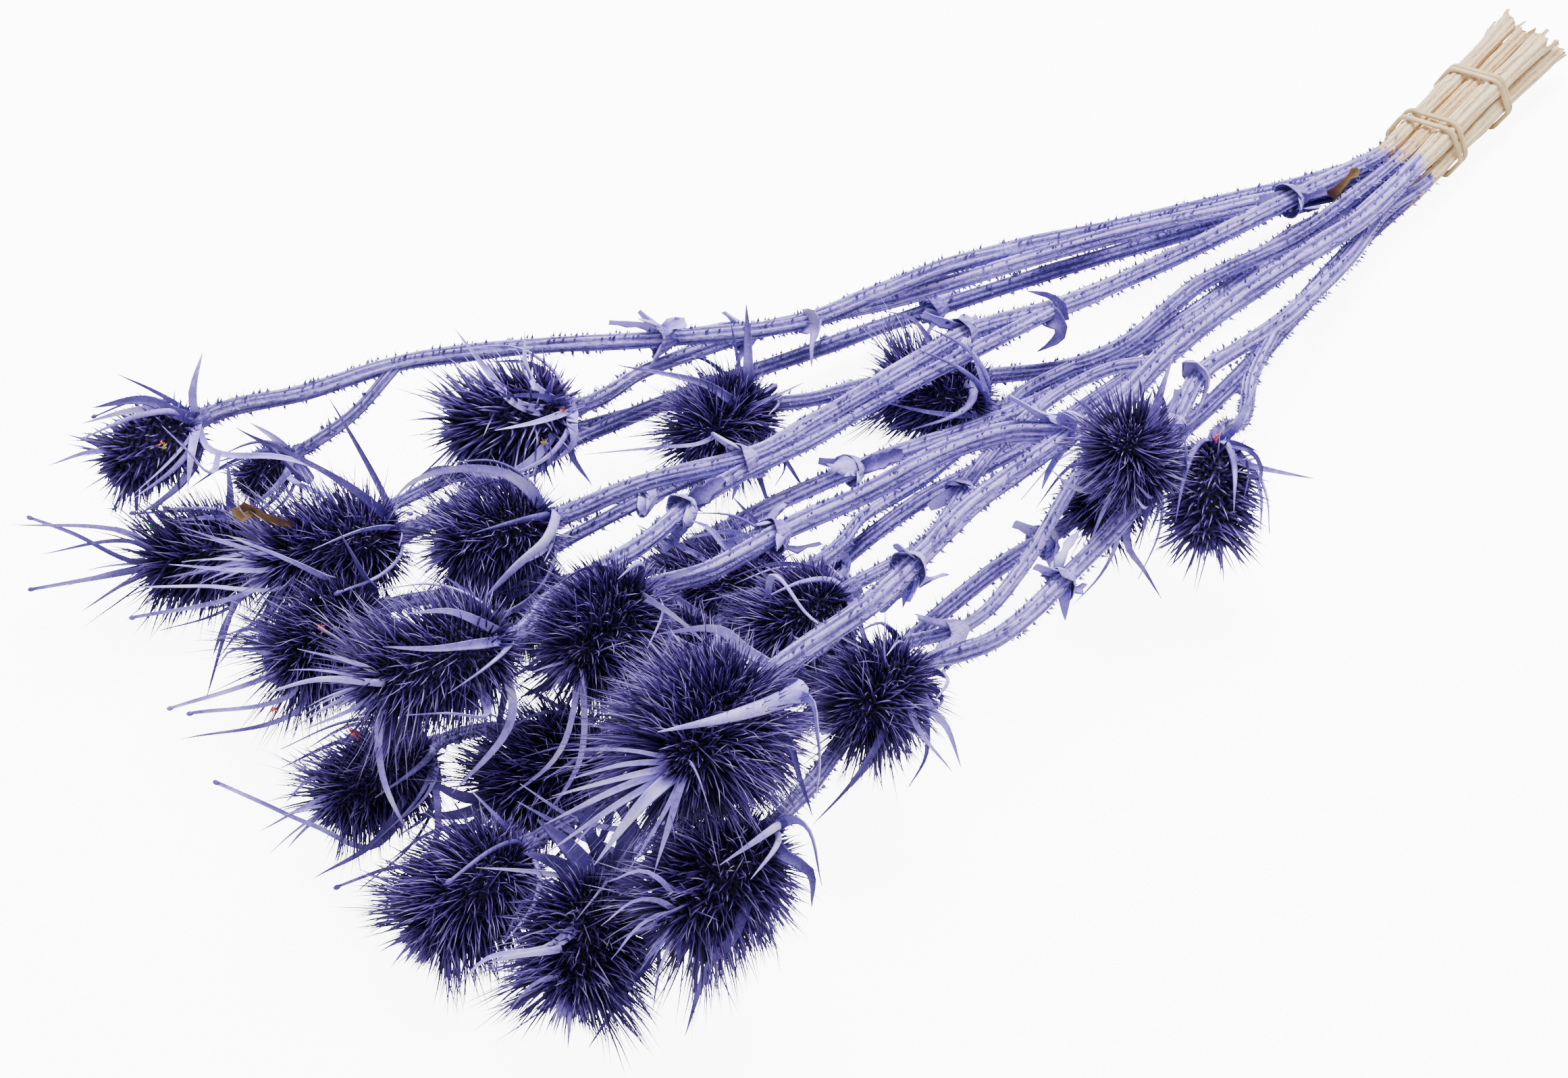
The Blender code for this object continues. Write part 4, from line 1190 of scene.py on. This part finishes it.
# Blades that leave a head's crown in the photograph, told in the same way.
CROWN_SEEN = {
    "E2": [
        (2.4, 0.9, PLAIN, [(920, 1165, 24), (806, 1220, 16)]),
        (2.2, 1.0, PLAIN, [(915, 1190, 24), (810, 1262, 14)]),
        (4.0, 1.0, PLAIN, [(950, 1190, 26), (880, 1280, 18)]),
        (1.8, 0.8, PLAIN, [(930, 1130, 24), (843, 1153, 18)]),
        (2.0, 0.9, PLAIN, [(925, 1150, 24), (817, 1178, 16)]),
        (2.4, 0.8, PLAIN, [(1000, 1190, 24), (968, 1294, 16)]),
        (1.6, 0.9, PLAIN, [(1030, 1140, 26), (1052, 1203, 20)]),
        (1.6, 0.7, PLAIN, [(985, 1200, 24), (930, 1290, 16)]),
        (1.4, 0.8, PLAIN, [(930, 1110, 22), (830, 1110, 16)]),
        (1.6, 0.8, PLAIN, [(900, 1200, 22), (840, 1262, 16)]),
    ],
    "A1": [
        (1.8, 0.6, PLAIN, [(150, 666, 6), (72, 688, 2)]),
    ],
    "C2": [
        (2.0, 0.5, PLAIN, [(185, 786, 8), (18, 776, 2)]),
        (2.0, 0.4, DROP, [(190, 829, 8), (110, 790, 6), (44, 766, 4)]),
        (2.2, 0.6, DROP, [(192, 846, 10), (46, 872, 4)]),
        (1.6, 0.6, PLAIN, [(190, 860, 8), (120, 905, 4)]),
        (1.6, 0.5, PLAIN, [(190, 800, 8), (60, 820, 4)]),
    ],
    "C1": [
        (2.4, 0.9, PLAIN, [(420, 870, 16), (300, 868, 12), (190, 869, 8)]),
        (2.0, 0.6, DROP, [(360, 880, 14), (196, 914, 8)]),
        (1.8, 0.8, PLAIN, [(380, 845, 18), (250, 835, 12)]),
        (1.6, 0.7, PLAIN, [(390, 820, 16), (270, 780, 12)]),
        (1.6, 0.7, PLAIN, [(400, 905, 14), (310, 950, 8)]),
    ],
    "J3": [
        (2.0, 0.6, DROP, [(385, 1006, 8), (252, 1048, 4)]),
        (2.0, 0.6, DROP, [(430, 1030, 10), (281, 1056, 6)]),
        (1.8, 0.3, PLAIN, [(444, 1050, 8), (268, 1094, 4)]),
        (1.6, 0.5, PLAIN, [(350, 960, 8), (318, 990, 4)]),
        (1.6, 0.4, PLAIN, [(370, 930, 4), (322, 975, 0)]),
    ],
    "D2": [
        (2.4, 0.9, PLAIN, [(560, 1010, 16), (470, 1005, 12), (380, 1030, 8)]),
        (2.0, 0.8, PLAIN, [(540, 985, 16), (440, 960, 12)]),
        (1.8, 0.8, PLAIN, [(540, 1040, 14), (450, 1080, 8)]),
    ],
    "L3": [
        (2.0, 0.3, HIDDEN, [(596, 1400, 14), (493, 1429, 12)]),
        (2.2, 0.7, HIDDEN, [(600, 1432, 14), (552, 1450, 14), (508, 1466, 12)]),
    ],
    "L2": [
        (2.6, 0.8, HIDDEN, [(830, 1405, 22), (770, 1415, 24), (722, 1425, 16)]),
        (2.0, 0.6, PLAIN, [(800, 1450, 20), (750, 1500, 14)]),
    ],
    "L1": [
        (2.0, 0.8, PLAIN, [(960, 1290, 22), (900, 1305, 16)]),
        (2.0, 0.7, PLAIN, [(950, 1330, 22), (890, 1370, 16)]),
        (1.8, 0.8, PLAIN, [(960, 1360, 20), (905, 1420, 12)]),
    ],
    "F2": [
        (4.0, 0.0, PLAIN, [(690, 1180, 6), (625, 1150, 2)]),
        (4.0, 0.1, PLAIN, [(680, 1205, 4), (610, 1205, 0)]),
        (3.6, 0.0, PLAIN, [(690, 1230, 2), (640, 1260, -4)]),
    ],
    "E1": [
        (3.6, 0.0, PLAIN, [(820, 975, 4), (765, 952, 0)]),
        (3.6, 0.05, PLAIN, [(815, 990, 4), (762, 985, 0)]),
        (3.2, 0.1, PLAIN, [(815, 1010, 2), (770, 1032, -4)]),
        (2.0, 0.8, PLAIN, [(830, 1110, 12), (740, 1190, 6)]),
        (2.2, 0.8, PLAIN, [(860, 1120, 12), (800, 1220, 6)]),
    ],
    "F3": [
        (1.8, 0.6, PLAIN, [(480, 1180, 8), (385, 1230, 4)]),
        (1.6, 0.6, PLAIN, [(470, 1150, 8), (420, 1190, 4)]),
    ],
}


def rooted(line):
    """A line told from the photograph, led on to the nearest stem or head
    where its root would hang free."""
    a, b, r = (np.array(x) for x in (crowd.a, crowd.b, crowd.r))
    along = b - a
    t = np.clip(((line[0] - a) * along).sum(1) / np.maximum((along * along).sum(1), 1e-9), 0, 1)
    near = a + t[:, None] * along
    gap = np.linalg.norm(line[0] - near, axis=1) - r[:, 0] - (r[:, 1] - r[:, 0]) * t
    closest = int(np.argmin(gap))
    return [near[closest], *line] if gap[closest] > 0 else line


def seen_bracts(name, table, start):
    """The lines of a head's bracts in a table, each brought forward past
    whatever else it would run through."""
    found = []
    for wide, pale, end, spots in table.get(name, ()):
        for lift in (0, 4, 8, 12, 16, 22):
            line = [seen(name, x, y, near + lift) for x, y, near in spots]
            if end != HIDDEN:
                line.insert(0, start)
            fine = led_through(line, SPACING)
            rest = crowd.room(fine[3:], leave_out=("head_" + name, "stem_" + name[0]))
            if rest.min() > 0.3 and inside(fine):
                found.append((rooted(line) if end == HIDDEN else line, wide, pale, end))
                crowd.add("stem_" + name[0], line, [0.6] * len(line))
                break
    return found


def add_seen(piece, name, table, start, wider, thick, torn):
    """The bracts of a head that the photograph shows, with their drops."""
    for k, (line, wide, pale, end) in enumerate(seen_bracts(name, table, start)):
        fine = add_blade(piece, line, wide * wider, thick, -FACING, name + "seen" + str(k),
                         torn=torn, pick=pale, blunt=end == DROP, full=2.2)
        if end == DROP:
            add_bead(piece, fine, 0.8)


def wild_bracts(name):
    """Slender bracts: some clasp the head to past its tip, some stand off it."""
    rng = random.Random("wild" + name)
    centre, axis, _, foot, _ = head_core(name)
    length, width = HEADS[name][3:]
    root = centre + axis * (foot - SEAT)
    s = np.array([0, 0.25, 0.6, 1.0])[:, None]
    start = any_turn(rng)
    found = []
    for k in range(CLASPING + STANDING):
        for attempt in range(7):
            turn = start + k * SPREAD + rng.uniform(-0.3, 0.3) + attempt * 0.9
            out = round_about(axis, turn)
            shrink = 1 - 0.09 * attempt
            if k < CLASPING:
                size = length * rng.uniform(1.15, 1.75) * shrink
                wide = width / 2 + rng.uniform(1.0, 5.5)
                line = root + axis * (-1.2 + size * s ** 1.35) \
                    + out * wide * (1 - (1 - s) ** 2.6) \
                    + round_about(axis, turn + 1.57) * rng.uniform(-7, 7) * s ** 2
            else:
                size = length * rng.uniform(0.65, 1.05) * shrink
                line = root + axis * (-1.4 + size * rng.uniform(0.1, 0.7) * s ** 1.3) \
                    + out * size * s ** 0.9 \
                    + np.array([0, 0, rng.uniform(-3, 5)]) * s ** 2
            fine = led_through(line, SPACING)
            rest = crowd.room(fine[2:], leave_out=("head_" + name, "stem_" + name[0]))
            own = crowd.room(fine[3:], only=lambda o: o == "head_" + name)
            if rest.min() > 0.9 and own.min() > 0.6 and inside(fine):
                found.append(line)
                crowd.add("stem_" + name[0], line, [0.5, 0.5, 0.4, 0.3])
                break
    return found


TORN = 3                # scraps of leaf left on each cup


def torn_leaves(name, at, way, high):
    """What is left of a pair of leaves, torn off at their cup."""
    rng = random.Random("torn" + name)
    s = np.array([0, 0.35, 0.7, 1.0])[:, None]
    found = []
    for _ in range(TORN):
        out = round_about(way, any_turn(rng))
        size = rng.uniform(7, 17)
        along = rng.choice((-1.0, 0.8, 1.1))
        line = at + way * (4 + size * along * s ** 1.3) \
            + out * (high * 0.7 + size * rng.uniform(0.2, 0.5) * s ** 0.7)
        fine = led_through(line, SPACING)
        if crowd.room(fine[1:], leave_out=("stem_" + name[0],)).min() > 0.6 and inside(fine):
            found.append(line)
    return found


# Scraps of leaf that the photograph shows on the stems: width, how pale, the
# head whose middle the last figure is told from, and pixels with mm.
LEAF_SCRAPS = {
    "A": [(11.0, 0.9, "J1", [(1212, 484, -27), (1204, 508, -25), (1202, 542, -24)])],
    "D": [(7.0, 0.2, "J2", [(1578, 468, -13), (1562, 440, -14), (1522, 430, -14)]),
          (9.0, 0.05, "J2", [(1572, 486, -12), (1562, 505, -13), (1536, 520, -13)])],
    "E": [(10.0, 0.95, "H3", [(1590, 612, -19), (1612, 640, -14), (1616, 692, -10)])],
    "H": [(10.0, 0.95, "H2", [(1766, 536, -46), (1790, 560, -44), (1772, 612, -44)])],
}


def add_seat(bark, name, line, radii):
    """The swelling under a head, where its bracts grow."""
    axis = head_core(name)[1]
    seat = [line[-1] - axis * 6, line[-1] - axis * 3.4, line[-1] - axis * 1.2,
            line[-1] + axis * 0.1]
    wide = min(HEADS[name][4] * 0.13, radii[-1] + 2.2)
    girth = [radii[-1] * 0.9, radii[-1] * 1.15, wide * 0.86, wide]

    def section(u, v):
        r = girth[round(u * 3)] * (1 + 0.06 * math.cos(18 * math.pi * v))
        return r * math.cos(2 * math.pi * v), r * math.sin(2 * math.pi * v)

    verts, faces, uv = drawn_along(seat, section, 18)
    bark.add(verts, faces, uv=uv * 0.01, rib=0.3, pick=0.4)


def add_bracts(leaves, spines, name, lines):
    """All the bracts at a head's foot: the solids', the photograph's and
    the slender ones, in that order."""
    centre, axis, _, foot, _ = head_core(name)
    rng = random.Random("leaves" + name)
    for k, line in enumerate(lines):
        pick = rng.random()
        beaded = k in BEADED.get(name, ())
        width = (1.9 if beaded else 3.4) * rng.uniform(0.8, 1.15)
        fine = add_blade(leaves, line, width, 0.8, axis, name + str(k), torn=0.1, pick=pick,
                         blunt=beaded)
        for j in range(2, len(fine) - 3):
            if rng.random() < 0.55:
                step = fine[j + 1] - fine[j]
                out = round_about(step, any_turn(rng))
                spines["small"].append(
                    placed(fine[j] + out * 0.3, out, step, rng.uniform(0.7, 1.5), 0.18))
        if beaded:
            add_bead(leaves, fine, rng.uniform(0.7, 0.9))
    root = centre + axis * (foot - SEAT - BRACT_SUNK)
    add_seen(leaves, name, FOOT_BRACTS, root, wider=1.15, thick=0.7, torn=0.12)
    for k, line in enumerate(wild_bracts(name)):
        add_blade(leaves, line, rng.uniform(1.4, 3.0), 0.6, -FACING, name + "wild" + str(k),
                  pick=rng.random(), full=2.0)
    return rng


def make_stem(letter, cups, bracts, finishes):
    """A stem with its branches, cups and prickles, and its bracts apart."""
    bark, leaves = Piece(), Piece()
    spines = {"big": [], "small": []}
    for name in ROUTES:
        if name[0] == letter:
            line, radii, run = add_ribbed_stem(bark, name)
            add_prickles(name, line, radii, run, spines)
            add_seat(bark, name, line, radii)
            rng = add_bracts(leaves, spines, name, bracts[name])
    for index, (name, at, way, low, high, flaps) in enumerate(cups):
        if name[0] != letter:
            continue
        seed = letter + str(index)
        add_cup(bark, at, way, low, high + 0.8, seed)
        for k, scrap in enumerate(torn_leaves(seed, at, way, high)):
            add_blade(leaves, scrap, rng.uniform(4.0, 8.0), 0.6, way, seed + "torn" + str(k),
                      torn=0.7, pick=rng.choice((0.15, 0.7, 0.85, 0.95)), blunt=True)
        for k, flap in enumerate(flaps):
            add_blade(leaves, flap, 6.0, 0.9, way, seed + str(k), torn=0.3, pick=0.85,
                      blunt=k == 0)
    for k, (wide, pale, head, spots) in enumerate(LEAF_SCRAPS.get(letter, ())):
        add_blade(leaves, rooted([seen(head, *spot) for spot in spots]), wide, 0.7, -FACING,
                  letter + "scrap" + str(k), torn=0.35, pick=pale, full=0.9, dark=0.5)
    tints = np.random.default_rng(ord(letter))
    copied(bark, PRICKLE, spines["big"], tints.random(len(spines["big"])))
    copied(bark, HAIR, spines["small"], tints.random(len(spines["small"])))
    node = "stem_" + letter
    bark.make("stem_%s_ribbed" % letter, finishes["stem"], "stem", node)
    leaves.make("stem_%s_bracts" % letter, finishes["blade"], "stem", node)


# ---------------------------------------------------------------- heads

AWN_SHAPE = sprig(3, 3, 0.34)
FLAT_FOOT = 0.93        # share of its half height at which a core is cut flat
PLUMP = 0.10            # how much plumper a core is towards its foot

AWNS = 1250             # on a head USUAL_WIDTH wide
USUAL_WIDTH = 32
# Each head's own coat: share of the awns, their length and their thickness.
COATS = {
    "B1": (0.45, 2.2, 1.8), "C1": (1.05, 2.5, 1.0), "A1": (0.45, 1.7, 1.7),
    "A2": (0.6, 1.8, 1.2), "H2": (0.5, 1.6, 1.6), "H4": (0.7, 1.8, 1.3),
    "C2": (0.80, 2.9, 1.2), "J2": (0.8, 1.9, 1.1), "E2": (1.2, 2.2, 0.95),
    "E1": (1.0, 2.1, 1.0), "F2": (1.1, 2.4, 1.1), "D2": (1.0, 2.3, 1.0),
    "J3": (1.0, 2.3, 1.0), "L1": (0.9, 2.0, 1.15), "L2": (0.9, 2.0, 1.15),
}
COAT_USUAL = (1.0, 2.0, 1.0)
CROWN = 0.6             # how much longer the crown's awns are
HOLLOW = 0.86           # from here to its very tip a head is a dark hollow
# Loose blades that stand out of the crown: how many, how long, which way.
CROWN_BLADES = {
    "E2": (9, 42, (0.95, 0.17, -0.22)), "L1": (7, 20, None), "C1": (6, 30, (0.8, -0.5, 0.1)),
    "C2": (6, 30, (0.75, -0.62, 0.1)), "B1": (5, 16, None), "D1": (5, 16, None),
    "E1": (6, 18, None), "D2": (6, 26, (0.85, -0.4, -0.1)), "J3": (6, 28, (0.85, -0.4, -0.1)),
    "F3": (5, 22, None), "G2": (5, 18, None), "F1": (5, 18, None), "F2": (8, 24, None),
    "L2": (6, 18, None), "L3": (6, 18, None),
}


def core_place(name):
    """A core's heart, its axis, the turn onto it, its radius, half height."""
    centre, axis, radius, foot, tip = head_core(name)
    half = (tip - foot) / (1 + FLAT_FOOT)
    heart = centre + axis * (foot + FLAT_FOOT * half)
    return heart, axis, np.array(frame_along(axis)), radius, half


def make_core(name, finish):
    """The pitted core that a head's awns stand on."""
    heart, _, turn, radius, half = core_place(name)
    bm = bmesh.new()
    bmesh.ops.create_icosphere(bm, subdivisions=3, radius=1.0)
    for vert in bm.verts:
        x, y, z = vert.co
        plump = radius * (1 - PLUMP * z)
        height = max(z, -FLAT_FOOT) * half
        vert.co = Vector(heart + turn @ np.array([x * plump, y * plump, height]))
    core = Piece()
    core.add(*taken(bm))
    core.make("head_%s_core" % name, finish, "head", "head_" + name)


def awns_of(name, rng):
    """A head's awns, set as a teasel sets them: root, way, length, thickness,
    how far the tip is drawn aside, and how pale."""
    heart, _, turn, radius, half = core_place(name)
    width = HEADS[name][4]
    many, length, stout = COATS.get(name, COAT_USUAL)
    count = int(AWNS * many * (width / USUAL_WIDTH) ** 1.5)
    awns = []
    for k in range(count):
        z = 1 - (k + 0.5) / count * (1 + FLAT_FOOT)
        ring = math.sqrt(max(0.0, 1 - z * z))
        around = k * SPREAD
        plump = radius * (1 - PLUMP * z)
        root = np.array([ring * math.cos(around) * plump, ring * math.sin(around) * plump,
                         z * half])
        normal = unit(root / np.array([plump, plump, half]) ** 2)
        crown = min(1.0, max(0.0, (z - 0.3) / 0.5)) if z < HOLLOW else -0.9
        low = max(0.0, (-z - 0.55) / 0.4)
        way = normal + np.array([0, 0, 0.30 - 0.35 * max(0.0, crown) - 0.5 * low])
        tousled = 0.45 if rng.random() < 0.10 else 0.13
        way = way + np.array([rng.gauss(0, tousled) for _ in range(3)])
        size = AWN * width * length * (1 + CROWN * crown)
        size = size * rng.triangular(0.55, 1.5, 0.95) * (1 - 0.4 * low)
        drawn = turn @ np.array([rng.gauss(0, 0.07), rng.gauss(0, 0.07),
                                 rng.uniform(-0.05, 0.28)])
        pale = rng.random() ** 1.6
        thick = stout * (0.60 - 0.24 * pale) * rng.uniform(0.85, 1.1)
        drawn = drawn - (0, 0, rng.uniform(0, 0.12))
        awns.append((heart + turn @ (root * 0.985), turn @ unit(way), size * (0.88 + 0.3 * pale),
                     thick, drawn, pale))
    return awns


def kept_share(owner, roots, leans, sizes):
    """How much of each awn is left, so that none runs into a neighbour, the
    floor or past the bunch."""
    low_edge, high_edge = np.array(CAD_BOX) / MM - SHIFT \
        + np.array([[-STAND_OUT, -STAND_OUT, 0.3], [STAND_OUT] * 3])

    def other_head(o):
        return o != owner and o.startswith("head_")

    def slender(o):
        return not o.startswith("head_")

    share = np.ones(len(roots))
    for _ in range(5):
        tips = roots + leans * (sizes * share)[:, None]
        own = crowd.room(tips, only=lambda o: o == owner)
        past = (tips < low_edge) | (tips > high_edge)
        crossed = (crowd.room(tips, only=other_head) < np.maximum(own, 0) * 0.4) \
            | (crowd.room(tips, only=slender) < 0.1) | past.any(1)
        share = np.where(crossed, share * 0.72, share)
    return share


def make_awns(name, rng, finish):
    """A head's coat of several hundred awns, each cut short where it must."""
    owner = "head_" + name
    axis = head_core(name)[1]
    awns = awns_of(name, rng)
    roots, ways, sizes, _, drawn, tints = (np.array(column) for column in zip(*awns))
    share = kept_share(owner, roots, ways + drawn, sizes)
    places = [placed(root, way, axis, size * cut, thick, aside)
              for (root, way, size, thick, aside, _), cut in zip(awns, share)]
    coat = Piece()
    copied(coat, AWN_SHAPE, places, tints)
    coat.make("head_%s_awns" % name, finish, "head", owner)


def make_crown(name, rng, finish):
    """The blades that leave a head's crown, as seen and by rule."""
    owner = "head_" + name
    heart, axis, _, _, half = core_place(name)
    blades = Piece()
    add_seen(blades, name, CROWN_SEEN, heart + axis * half * 0.7, wider=1.0, thick=0.5,
             torn=0.08)
    many, reach, lead = CROWN_BLADES.get(name, (0, 0, None))
    lead = axis if lead is None else unit(np.array(lead))
    for k in range(many):
        turn = k * SPREAD + rng.uniform(-0.2, 0.2)
        out = unit(lead + round_about(lead, turn) * rng.uniform(0.1, 0.75))
        start = heart + axis * half * 0.75 + out * 2.0
        size = reach * rng.uniform(0.55, 1.05)
        bend = np.array([0, 0, -0.12]) * size + round_about(out, any_turn(rng)) * size * 0.06
        blade = [start, start + out * size * 0.4, start + out * size * 0.75 + bend * 0.4,
                 start + out * size + bend]
        fine = led_through(blade, SPACING)
        if crowd.room(fine, leave_out=(owner,)).min() > 0.5 and inside(fine):
            add_blade(blades, blade, rng.uniform(1.2, 2.2), 0.5, np.array([0, 0, 1.0]),
                      name + "crown" + str(k), pick=rng.uniform(0.4, 1.0))
    if blades.count:
        blades.make("head_%s_blades" % name, finish, "head", owner)


def make_head(name, finishes):
    """A head: its core, its awns, its crown and what is caught in it."""
    rng = random.Random("fine" + name)
    make_core(name, finishes["core"])
    make_awns(name, rng, finishes["awn"])
    make_crown(name, rng, finishes["blade"])
    if name in STRAY_BITS:
        make_strays(name, finishes["stray"])


# Bits of other colours on the heads in the photograph: the colour, how many
# fibres and how long, and the pixel with mm before the head's middle.
STRAY_BITS = {
    "J3": [("red", 9, 3.4, (474, 928, 28)), ("red", 6, 3.6, (405, 1050, 24))],
    "F3": [("red", 12, 4.6, (523, 1084, 27))],
    "B1": [("orange", 8, 2.2, (831, 607, 9)), ("yellow", 5, 4.5, (806, 655, 20))],
    "C2": [("teal", 9, 2.6, (223, 778, 15)), ("teal", 6, 4.0, (170, 752, 12))],
    "A1": [("yellow", 4, 3.6, (242, 662, 20)), ("orange", 3, 2.6, (240, 655, 20))],
    "H2": [("red", 8, 2.6, (1800, 648, 10))],
}
# Dead leaves caught in the bunch: the piece, its slot and node, the head that
# it is told from, and each leaf's seed, width and pixels with mm before that
# head's middle.
DEAD_LEAVES = [
    ("head_C1_dead_leaf", "head", "head_C1", "C1", [
        ("dead0", 4.6, [(350, 764, 14), (366, 752, 16), (392, 764, 18), (434, 776, 17)]),
        ("dead1", 3.6, [(346, 752, 15), (360, 768, 18), (376, 756, 17)]),
    ]),
    ("stem_D_dead_leaf", "stem", "stem_D", "H2", [
        ("dead on stem", 4.2, [(1970, 290, -151), (1990, 270, -149), (2012, 250, -151)]),
    ]),
]


def make_dead_leaf(name, slot, node, head, leaves, finish):
    """A dry brown leaf that blew into the bunch."""
    scrap = Piece()
    for seed, width, spots in leaves:
        add_blade(scrap, [seen(head, *spot) for spot in spots], width, 0.8, -FACING, seed,
                  torn=0.9, pick=0.1, blunt=True)
    scrap.make(name, finish, slot, node)


def make_strays(name, finish):
    """The bits of other colours that lie on a head."""
    rng = random.Random("strays" + name)
    bits = Piece()
    names = list(STRAYS)
    for colour, many, reach, (x, y, near) in STRAY_BITS[name]:
        at = seen(name, x, y, near)
        places = []
        for _ in range(many):
            way = np.array([rng.gauss(0, 1) for _ in range(3)]) - FACING * 0.8
            places.append(placed(at - way * 0.6, way, np.array([0, 0, 1.0]),
                                 reach * rng.uniform(0.5, 1.1), 0.42))
        copied(bits, AWN_SHAPE, places, np.full(many, (names.index(colour) + 0.5) / len(names)))
    bits.make("head_%s_strays" % name, finish, "head", "head_" + name)


# ---------------------------------------------------------------- bands

# How far the two turns of a band part on top, in mm.
BAND_APART = {"band_cut_side": 2.6, "band_fan_side": 5.4}
BAND_STEPS = 56         # in a turn
BAND_ROUND = 0.85       # half a band's height off the stems, squashed
BAND_CORNER = 0.8       # 1 for a round section, less for a squarer one


def make_band(name, along, finish):
    """A rubber band in two turns that part on top, where they pinch the stems."""
    turns = [2 * math.pi * i / BAND_STEPS for i in range(2 * BAND_STEPS)]
    line = np.array([round_the_tie(turn, along + BAND_APART[name] / 2 * math.sin(turn / 2))
                     for turn in turns])
    centre = middle(line)
    axis = direction(math.degrees(SKEW), 0)
    bm = bmesh.new()
    bmesh.ops.create_grid(bm, x_segments=12, y_segments=len(line), size=0.5)
    for vert in bm.verts:
        i = round((vert.co.y + 0.5) * len(line)) % len(line)
        out = unit(line[i] - (centre + axis * ((line[i] - centre) @ axis)))
        turn = 2 * math.pi * ((vert.co.x + 0.5) % 1.0)
        c, s = math.cos(turn), math.sin(turn)
        vert.co = Vector(line[i] + out * BAND_ROUND * math.copysign(abs(c) ** BAND_CORNER, c)
                         + axis * BAND_WIDE / 2 * math.copysign(abs(s) ** BAND_CORNER, s))
    bmesh.ops.remove_doubles(bm, verts=bm.verts, dist=SEAM)
    bmesh.ops.recalc_face_normals(bm, faces=bm.faces)
    piece = Piece()
    piece.add(*taken(bm))
    piece.make(name + "_rubber", finish, "band", name)


# ---------------------------------------------------------------- studio

WHITE = (1, 1, 1, 1)
FLOOR_REACH = 6.0       # metres from the middle to its edges
FLOOR_DROP = 0.0002     # metres that it lies under the bunch
SKY = 0.7               # how bright the light from all round is
# Each lamp's name, place in metres, power in watts and size in metres.
LAMPS = (("key", (-0.5, -0.4, 1.4), 62, 0.8), ("fill", (1.0, 0.9, 1.2), 9, 1.4))


def studio():
    """A pale floor, soft light from above, and the photograph's view."""
    scene = bpy.context.scene
    bm = bmesh.new()
    bmesh.ops.create_grid(bm, x_segments=1, y_segments=1, size=FLOOR_REACH,
                          matrix=Matrix.Translation((0, 0, -FLOOR_DROP)))
    mesh = bpy.data.meshes.new("floor")
    bm.to_mesh(mesh)
    bm.free()
    floor = bpy.data.objects.new("floor", mesh)
    paper, tree, bsdf = new_finish("pale_floor", roughness=0.9)
    bsdf.inputs["Base Color"].default_value = (0.93, 0.93, 0.94, 1)
    sight = joined(tree, "ShaderNodeLightPath").outputs["Is Camera Ray"]
    tree.links.new(math_node(tree, "MULTIPLY", sight, FLOOR_GLOW), bsdf.inputs["Emission Strength"])
    bsdf.inputs["Emission Color"].default_value = WHITE
    mesh.materials.append(paper)
    scene.collection.objects.link(floor)

    world = bpy.data.worlds.new("studio")
    world.use_nodes = True
    sky = world.node_tree.nodes["Background"]
    sky.inputs["Color"].default_value = WHITE
    sky.inputs["Strength"].default_value = SKY
    scene.world = world
    for name, at, power, size in LAMPS:
        lamp = bpy.data.lights.new(name, "AREA")
        lamp.energy = power
        lamp.size = size
        light = bpy.data.objects.new(name, lamp)
        light.location = at
        light.rotation_euler = (-Vector(at)).to_track_quat("-Z", "Y").to_euler()
        scene.collection.objects.link(light)

    lens = bpy.data.cameras.new("view")
    lens.lens = VIEW_LENS
    lens.sensor_width = SENSOR
    camera = bpy.data.objects.new("view", lens)
    camera.location = Vector((EYE + SHIFT * (1, 1, 0)) * MM)
    camera.rotation_euler = Vector(FACING).to_track_quat("-Z", "Y").to_euler()
    scene.collection.objects.link(camera)
    scene.camera = camera


def dress():
    """All the pieces, once every stem, head, cup and bract has its place."""
    finishes = {"stem": stem_finish(), "blade": blade_finish(), "awn": awn_finish(),
                "core": core_finish(), "stray": stray_finish(), "band": band_finish()}
    lines = {}
    for name in ROUTES:
        line = led_through(waypoints(name), RINGS, direction(*HEADS[name][1:3]))
        lines[name] = line, stem_radii(name, line)
        crowd.add("stem_" + name[0], *lines[name])
    for name in HEADS:
        crowd.add("head_" + name, *head_capsule(name))
    cups = place_cups(lines)
    bracts = {name: bract_lines(name) for name in HEADS}
    for letter in SLOTS:
        make_stem(letter, cups, bracts, finishes)
    for name in HEADS:
        make_head(name, finishes)
    for leaf in DEAD_LEAVES:
        make_dead_leaf(*leaf, finishes["stray"])
    for name, along in BANDS.items():
        make_band(name, along, finishes["band"])


dress()
studio()
